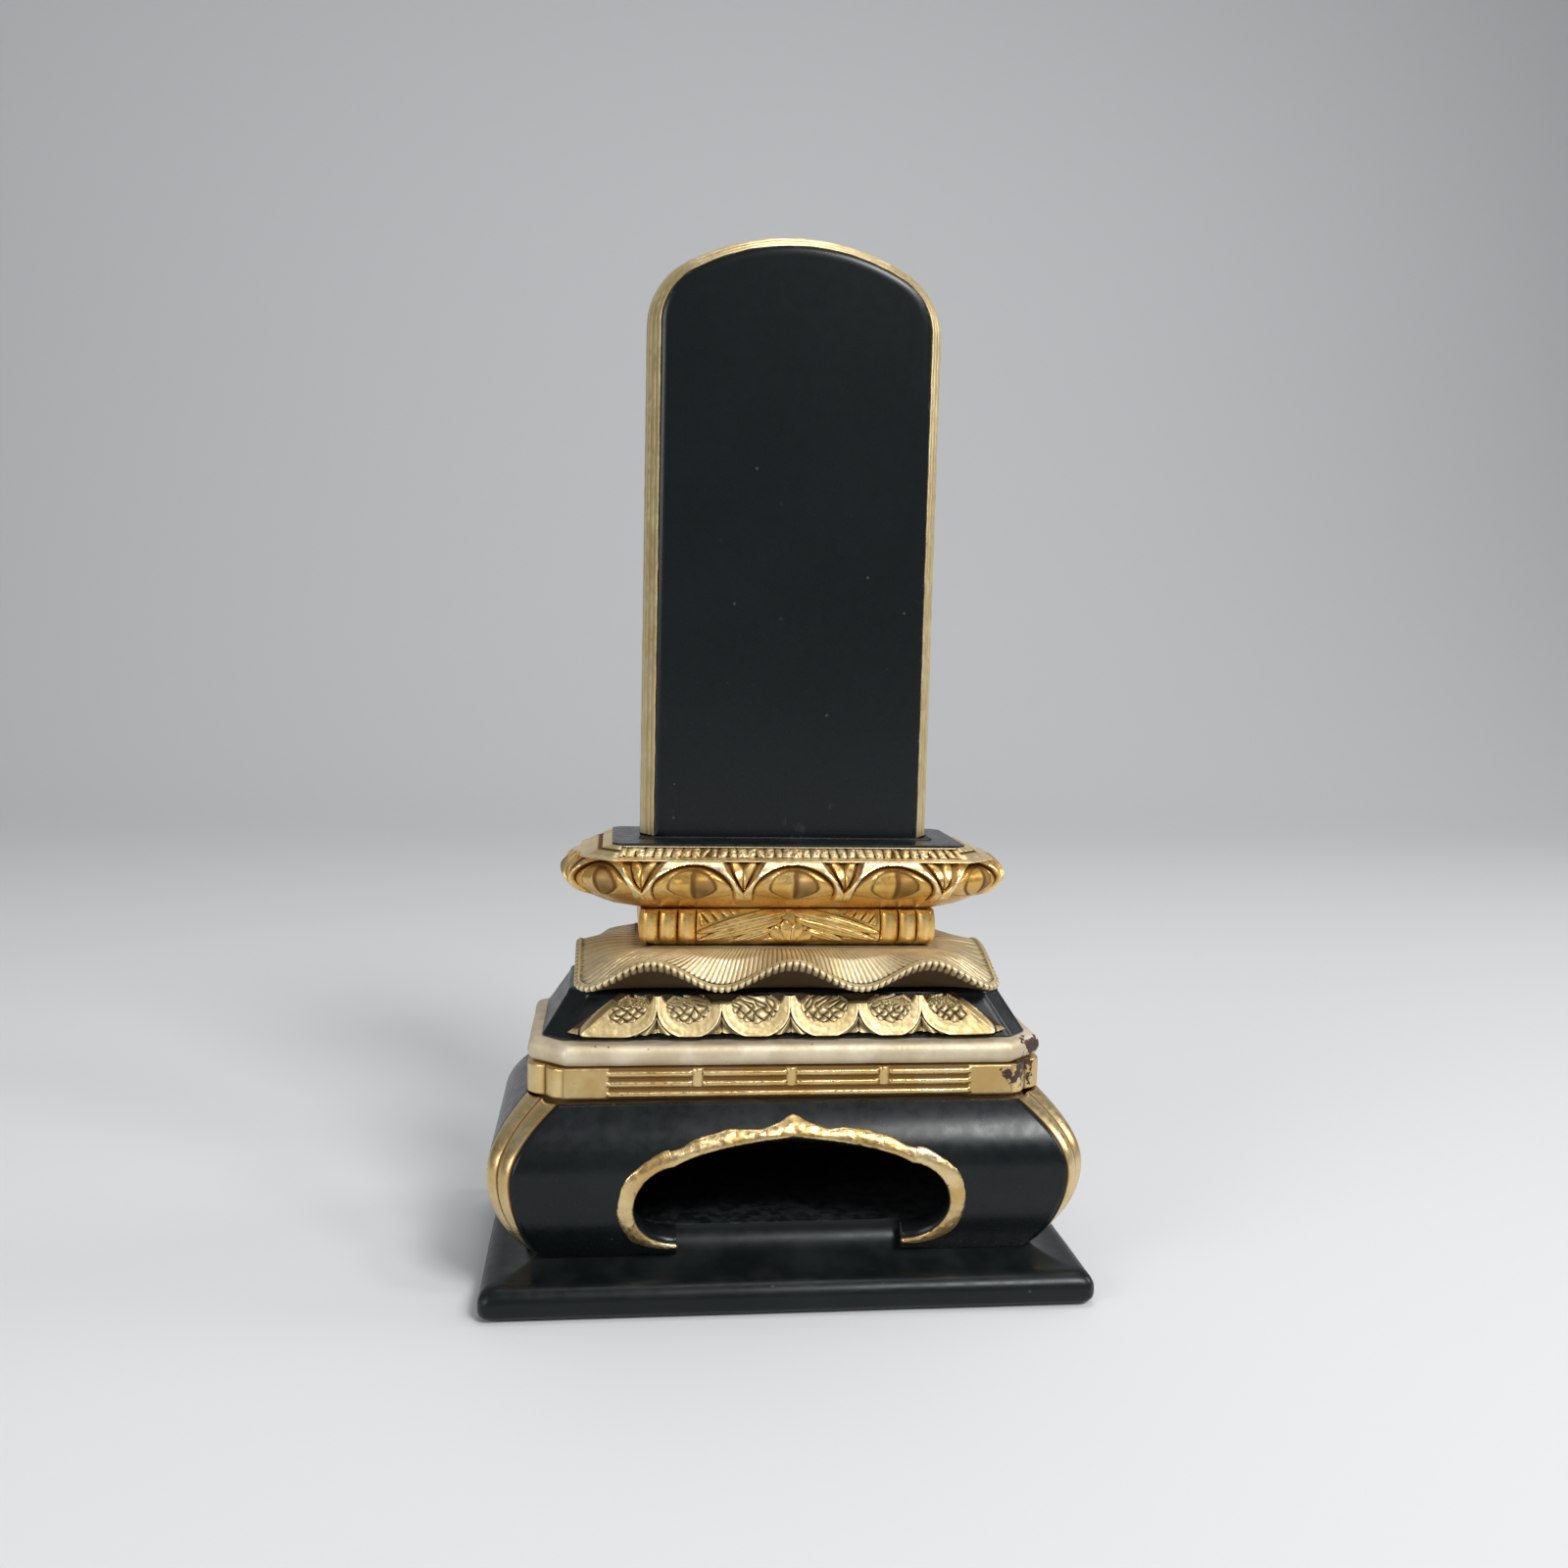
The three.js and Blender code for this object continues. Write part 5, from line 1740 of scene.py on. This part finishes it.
@dataclass
class Seat:
    """The sloping band of small gilt teeth and the black cap that it carries."""

    lotus_x: float = 41.0
    lotus_y: float = 16.3
    lotus_cant_x: float = 5.4
    lotus_cant_y: float = 5.0
    cap_cant: float = 1.6
    flare: float = 0.9
    tooth_pitch: float = 1.85
    tooth_relief: float = 0.8
    tooth_foot: float = 0.26
    tooth_top: float = 0.88
    lip: float = 0.5
    lip_foot: float = 0.9
    lip_middle: float = 0.95
    lip_half: float = 0.05
    sunk: float = 0.15
    under_cap: float = 0.42
    cap_edge: float = 0.22
    fillet: float = 0.42
    cap_rise: float = 0.04
    cap_run: float = 8.0
    seat_run: float = 4.0

    def build(self, looks: Finishes) -> None:
        """Make the stamen band and the cap."""
        self.stamens(looks)
        self.cap(looks)

    def plans(self) -> tuple[Outline, Outline]:
        """Return the outlines of the lotus's top and of the cap."""
        high = span("seat_cap")[1]
        outer = Outline(self.lotus_x, self.lotus_y, self.lotus_cant_x, self.lotus_cant_y, 1.5)
        return outer, Outline(high.x, high.y, self.cap_cant, self.cap_cant, 0.4, outer)

    def stamens(self, looks: Finishes) -> None:
        """Make the flare, the row of teeth and the bright lip under the cap."""
        outer, inner = self.plans()
        foot = span("upper_lotus")[1].z - self.sunk
        top = span("seat_cap")[1].z - self.under_cap
        count = round(outer.length / self.tooth_pitch)
        socket = Socket()
        hole = socket.outline(socket.slack, outer)
        rows = 40

        def place(along: float, up: float) -> Spot:
            row = round(up * (rows + 3))
            if rows < row < rows + 3:
                flat = hole.at(along)[0]
                # The tone paints the mortise in shade.
                return Vector((*flat, top if row == rows + 1 else foot)), -1.0
            up = row % (rows + 3) / rows
            (start, facing), (end, _) = outer.at(along), inner.at(along)
            on_face = ease(35.0, 34.2, abs(start.x))
            flat = start.lerp(end, 0.15 * up + 0.85 * up**1.6)
            z = mix(foot, top, up)
            relief, tone = self.teeth(along * count, up) if on_face > 0 else (0.0, 0.0)
            # The tone paints shade in the groove cut along the plain ends.
            groove = math.exp(-(((up - 0.66) / 0.08) ** 4))
            relief = mix(0.1 - 0.4 * groove, relief, on_face)
            tone = mix(0.75 - 2.2 * groove, tone, on_face)
            relief += self.flare * ease(0.3, 0.0, up) + 0.05 * rough(flat.x, flat.y, z, 1.2)
            flat = flat + facing * relief
            return Vector((*flat, z + relief * 0.12)), tone

        mesh = shell(count * 10, rows + 3, place)
        make_piece("tooth_row", mesh, looks.stamen, ["stamen_band"])

    def teeth(self, turn: float, up: float) -> Relief:
        """Return the relief and tone of the row of teeth.

        Args:
            turn: Place along the row in teeth.
            up: Share of the way from the lotus to the cap.
        """
        if up > self.lip_foot:
            bead = round_over((up - self.lip_middle) / self.lip_half)
            # The tone paints shade along the lip's edges and a highlight on it.
            return self.lip * bead**0.5, mix(-1.0, 1.0, ease(0.0, 0.6, bead))
        foot, top = self.tooth_foot, self.tooth_top
        if up < foot:
            return 0.1, 0.6
        number = math.floor(turn + 0.5)
        lean = 0.8 * rough(number * 5.13, 4.4, 0.0, 1.0)
        wide = 0.41 + 0.26 * rough(number * 3.71, 9.3, 0.0, 1.0)
        share = (up - foot) / (top - foot)
        away = (turn - number - lean * (share - 0.5)) / wide
        body = round_over(away) ** 0.6 * round_over(2 * share - 1) ** 0.45
        scar = 0.5 * max(0.0, rough(turn * 2.2, up * 8.0, 1.0, 0.8))
        # The tone paints shade in the gaps between the teeth and highlights on them.
        return self.tooth_relief * (body - scar) - 0.3, 1.5 * body - 0.75 - scar

    def cap(self, looks: Finishes) -> None:
        """Make the black cap, rising to the tablet's foot, with the socket through it."""
        _, inner = self.plans()
        high = span("seat_cap")[1]
        board = span("tablet")[1]
        edge = self.cap_edge
        foot = Outline(board.x + 0.15, board.y + 0.15, 0.5, 0.5, 0.2, inner)
        socket = Socket()
        hole = socket.outline(0.0, inner)
        run, seat, fillet = self.cap_run, self.seat_run, self.fillet
        cove = sweep((run - fillet, high.z + fillet + self.cap_rise), (fillet, fillet), -90, 0, 6)
        line = Section(
            [
                *sweep((edge, high.z - edge), (edge, edge), 270, 90, 8),
                *cove,
                (run + 0.1, high.z),
                (run + seat, high.z),
                (run + seat, socket.floor),
            ]
        )

        def place(along: float, up: float) -> Spot:
            rim, middle, last = inner.at(along)[0], foot.at(along)[0], hole.at(along)[0]
            inward, z = line.at(up)
            share = inward / run
            flat = rim.lerp(middle, share) if share < 1 else middle.lerp(last, (inward - run) / seat)
            return Vector((*flat, z)), 1.0

        mesh = shell(420, 90, place)
        make_piece("seat_plate", mesh, looks.black, ["seat_cap"])


# Tablet


@dataclass
class Tablet:
    """The bare black board with its gilt, moulded edge and its tenon."""

    shoulder: float = 15.0
    crown: float = 46.0
    border: float = 3.0
    bevel_back: float = 0.6
    bevel_front: float = 4.15
    ridges: int = 3
    ridge_height: float = 0.2
    edge_lap: float = 0.22
    back_border: float = 1.6
    half_thick: float = 5.3
    pillow: float = 2.2
    pillow_rise: float = 0.75
    tenon_half: float = 13.0
    tenon_thick: float = 3.0
    tenon_cant: float = 0.6
    innermost: float = 6.0

    def __post_init__(self) -> None:
        """Take the place of the board from the frame."""
        low, high = span("tablet")
        self.half = high.x
        self.top = high.z
        self.tenon_foot = low.z
        self.foot = span("seat_cap")[1].z + 0.35

    def outline(self, inset: float, whole: bool) -> Section:
        """Return the arched outline drawn in by a distance, closed at the foot if whole."""
        crown_z = self.top - self.crown
        shoulder_x = self.half - self.shoulder
        shoulder_z = crown_z + math.sqrt((self.crown - self.shoulder) ** 2 - shoulder_x**2)
        meet = math.degrees(math.atan2(shoulder_z - crown_z, shoulder_x))
        small, large = self.shoulder - inset, self.crown - inset
        points = [
            (self.half - inset, self.foot),
            *sweep((shoulder_x, shoulder_z), (small, small), 0, meet, 24),
            *sweep((0.0, crown_z), (large, large), meet, 180 - meet, 48)[1:],
            *sweep((-shoulder_x, shoulder_z), (small, small), 180 - meet, 180, 24)[1:],
            (inset - self.half, self.foot),
        ]
        if whole:
            points.append(points[0])
        return Section(points)

    def wrap(self, section: Section, whole: bool) -> Place:
        """Return the surface that a section of (inset, Y) makes round the outline.

        Args:
            section: Line through (inset, Y), from the back to the front.
            whole: Whether the surface runs along the foot too.
        """
        outer = self.outline(0.0, whole)
        inner = self.outline(self.innermost, whole)
        marks = [mark / outer.marks[-1] for mark in outer.marks]

        def place(along: float, up: float) -> Spot:
            inset, y = section.at(up)
            index = min(bisect_right(marks, along) - 1, len(marks) - 2)
            share = (along - marks[index]) / (marks[index + 1] - marks[index])
            ends = [line.points[index].lerp(line.points[index + 1], share) for line in (outer, inner)]
            flat = ends[0].lerp(ends[1], inset / self.innermost)
            return Vector((flat.x, y, flat.y)), 1.0

        return place

    def build(self, looks: Finishes) -> None:
        """Make the board, its gilt edge and its tenon."""
        self.board(looks)
        self.edge(looks)
        self.tenon(looks)

    def board(self, looks: Finishes) -> None:
        """Make the black board with softly rounded faces."""
        front, back = [], []
        for step in range(11):
            angle = math.radians(90 * step / 10)
            inward = self.pillow * (1 - math.cos(angle))
            depth = self.half_thick - self.pillow_rise * (1 - math.sin(angle))
            front.append((self.border - 0.1 + inward, -depth))
            back.append((self.back_border - 0.1 + inward, depth))
        points = [*reversed(back), (self.back_border, 0.0), (self.border, 0.0), *front]
        mesh = shell(420, 36, self.wrap(Section(points), True))
        make_piece("tablet_board", mesh, looks.face, ["tablet"], TABLET, crease=35.0)

    def edge(self, looks: Finishes) -> None:
        """Make the gilt edge: a bevel with shallow ridges, widest near the back."""
        last = self.border - self.edge_lap
        run = Vector((last, -self.bevel_front - self.bevel_back))
        outward = Vector((run.y, -run.x)).normalized()
        bevel = []
        steps = 14 * self.ridges
        for step in range(1, steps + 1):
            share = step / steps
            swell = self.ridge_height * abs(math.sin(math.pi * self.ridges * share**1.25)) ** 0.7
            point = run * share + outward * swell * ease(0.0, 0.25, share)
            bevel.append((max(0.0, point.x), self.bevel_back + point.y))
        sunk, under = 0.75 - self.bevel_front, self.border + 0.9
        start = (self.back_border + 0.7, 4.2)
        back = [(self.back_border, 5.0), (0.9, 5.15), (0.25, 4.7), (0.0, 3.9), (0.0, self.bevel_back)]
        loop = [start, *back, *bevel, (last, sunk), (under, sunk), (under, 0.0), start]
        place = self.wrap(Section(loop), False)

        def worn(along: float, up: float) -> Spot:
            point, _ = place(along, up)
            outward = Vector((point.x, 0.0, max(0.0, point.z - 160.0))).normalized()
            lump = 0.09 * rough(point.x, point.y * 2, point.z, 3.0) - 0.06
            return point + outward * min(0.0, lump), self.edge_tone(point.y)

        mesh = shell(420, 110, worn)
        make_piece("tablet_gilt_edge", mesh, looks.rim, body=TABLET, crease=60.0)

    def edge_tone(self, y: float) -> float:
        """Return the edge's tone at a depth: painted highlight outermost, painted shade in its grooves."""
        share = (self.bevel_back - y) / (self.bevel_back + self.bevel_front)
        if not 0 < share < 1:
            return 0.5 if share <= 0 else -1.2
        ridge = abs(math.sin(math.pi * self.ridges * share**1.25))
        return mix(-0.7, 0.6, min(1.0, 2.6 * ridge)) + 0.5 * ease(0.3, 0.1, share)

    def tenon(self, looks: Finishes) -> None:
        """Make the tenon under the board."""
        outer = Outline(self.tenon_half, self.tenon_thick, self.tenon_cant, self.tenon_cant, 0.2)
        inner = outer.inset(self.tenon_cant)
        line = Section([(0.6, self.tenon_foot), (0.0, self.tenon_foot + 0.8), (0.0, self.foot + 0.1)])
        mesh = shell(120, 10, tier(outer, inner, line, lambda *_place: (0.0, 0.0)))
        make_piece("tablet_tenon", mesh, looks.wood, body=TABLET)


# Hidden wood


def dress_hidden_wood(looks: Finishes) -> None:
    """Give the pieces inside the stand their wood."""
    for name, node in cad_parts.items():
        if name == "body_deck" or name.startswith("glue_block") or "_dowel_" in name:
            node.data.materials.clear()
            node.data.materials.append(looks.wood)
            log.info("%s: plain wood", name)


# Studio


@dataclass
class Studio:
    """Pale sweep, soft lamps and the camera where the photograph was taken."""

    camera_place: tuple[float, float, float] = (-35.2, -297.5, 127.89)
    yaw: float = 6.695
    pitch: float = -5.562
    roll: float = 1.347
    focal_pixels: float = 1477.0
    frame_pixels: float = 1600.0
    sensor: float = 36.0
    half_sweep: float = 7000.0
    paper: Colour = (0.66, 0.67, 0.68, 1.0)

    def build(self) -> None:
        """Make the sweep, the lamps, the world and the camera."""
        self.backdrop()
        self.lamps()
        self.world()
        self.camera()
        bpy.context.scene.view_settings.view_transform = "Standard"

    def backdrop(self) -> None:
        """Make the pale floor that sweeps up behind the object."""
        bend = sweep((700.0, 500.0), (500.0, 500.0), -90, 0, 16)
        line = Section([(-1500.0, 0.0), (700.0, 0.0), *bend, (1200.0, 2200.0)])

        def place(along: float, up: float) -> Spot:
            y, z = line.at(up)
            return Vector((mix(-self.half_sweep, self.half_sweep, along), y, z - 0.05)), 1.0

        paper = bpy.data.materials.new("pale_paper")
        paper.use_nodes = True
        shader = paper.node_tree.nodes["Principled BSDF"]
        Desk(paper.node_tree).plug(shader, {"Base Color": self.paper, "Roughness": 0.85})
        sweep_object = put_in_scene("sweep", carved(4, 60, place), paper)

    def lamps(self) -> None:
        """Make the soft lamps."""
        aim = Vector((0.0, 0.0, 0.09))
        for name, place, size, power in (
            ("key", (0.4, -0.7, 0.85), 0.3, 8.0),
            ("sheen", (0.66, -0.45, 0.83), 0.14, 1.5),
            ("fill", (-0.9, -0.7, 0.45), 0.5, 4.0),
            ("top", (0.1, 0.15, 1.1), 0.4, 3.0),
            ("side", (1.1, 0.05, 0.6), 0.4, 3.0),
        ):
            light = bpy.data.lights.new(name, "AREA")
            light.size = size
            light.energy = power
            lamp = bpy.data.objects.new(name, light)
            lamp.location = place
            lamp.rotation_euler = (aim - Vector(place)).to_track_quat("-Z", "Y").to_euler()
            bpy.context.scene.collection.objects.link(lamp)

    def world(self) -> None:
        """Set an even, pale sky."""
        world = bpy.data.worlds.new("studio")
        world.use_nodes = True
        sky = world.node_tree.nodes["Background"]
        sky.inputs["Color"].default_value = (0.95, 0.97, 1.0, 1.0)
        sky.inputs["Strength"].default_value = 0.24
        bpy.context.scene.world = world

    def camera(self) -> None:
        """Set the camera at the photograph's viewing angle."""
        yaw, pitch, roll = (math.radians(angle) for angle in (self.yaw, self.pitch, self.roll))
        forward = Vector((math.sin(yaw) * math.cos(pitch), math.cos(yaw) * math.cos(pitch), math.sin(pitch)))
        level = Vector((math.cos(yaw), -math.sin(yaw), 0.0))
        upright = level.cross(forward)
        right = level * math.cos(roll) + upright * math.sin(roll)
        up = upright * math.cos(roll) - level * math.sin(roll)
        turn = Matrix((right, up, -forward)).transposed().to_4x4()
        data = bpy.data.cameras.new("camera")
        data.sensor_width = self.sensor
        data.lens = self.focal_pixels / self.frame_pixels * self.sensor
        data.clip_start = 0.01
        camera = bpy.data.objects.new("camera", data)
        camera.matrix_world = Matrix.Translation(Vector(self.camera_place) * MM) @ turn
        bpy.context.scene.collection.objects.link(camera)
        bpy.context.scene.camera = camera


def main() -> None:
    """Build and dress the whole object."""
    logging.basicConfig(level=logging.INFO, format="%(name)s: %(message)s")
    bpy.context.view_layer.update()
    Studio().build()
    looks = Finishes()
    base = BasePlate()
    for part in (base, Body(base), Step(), LowerLotus(), LeafPlate(), Neck(), UpperLotus(), Seat(), Tablet()):
        part.build(looks)
        log.info("%s is built", type(part).__name__)
    dress_hidden_wood(looks)


if __name__ == "__main__":
    main()
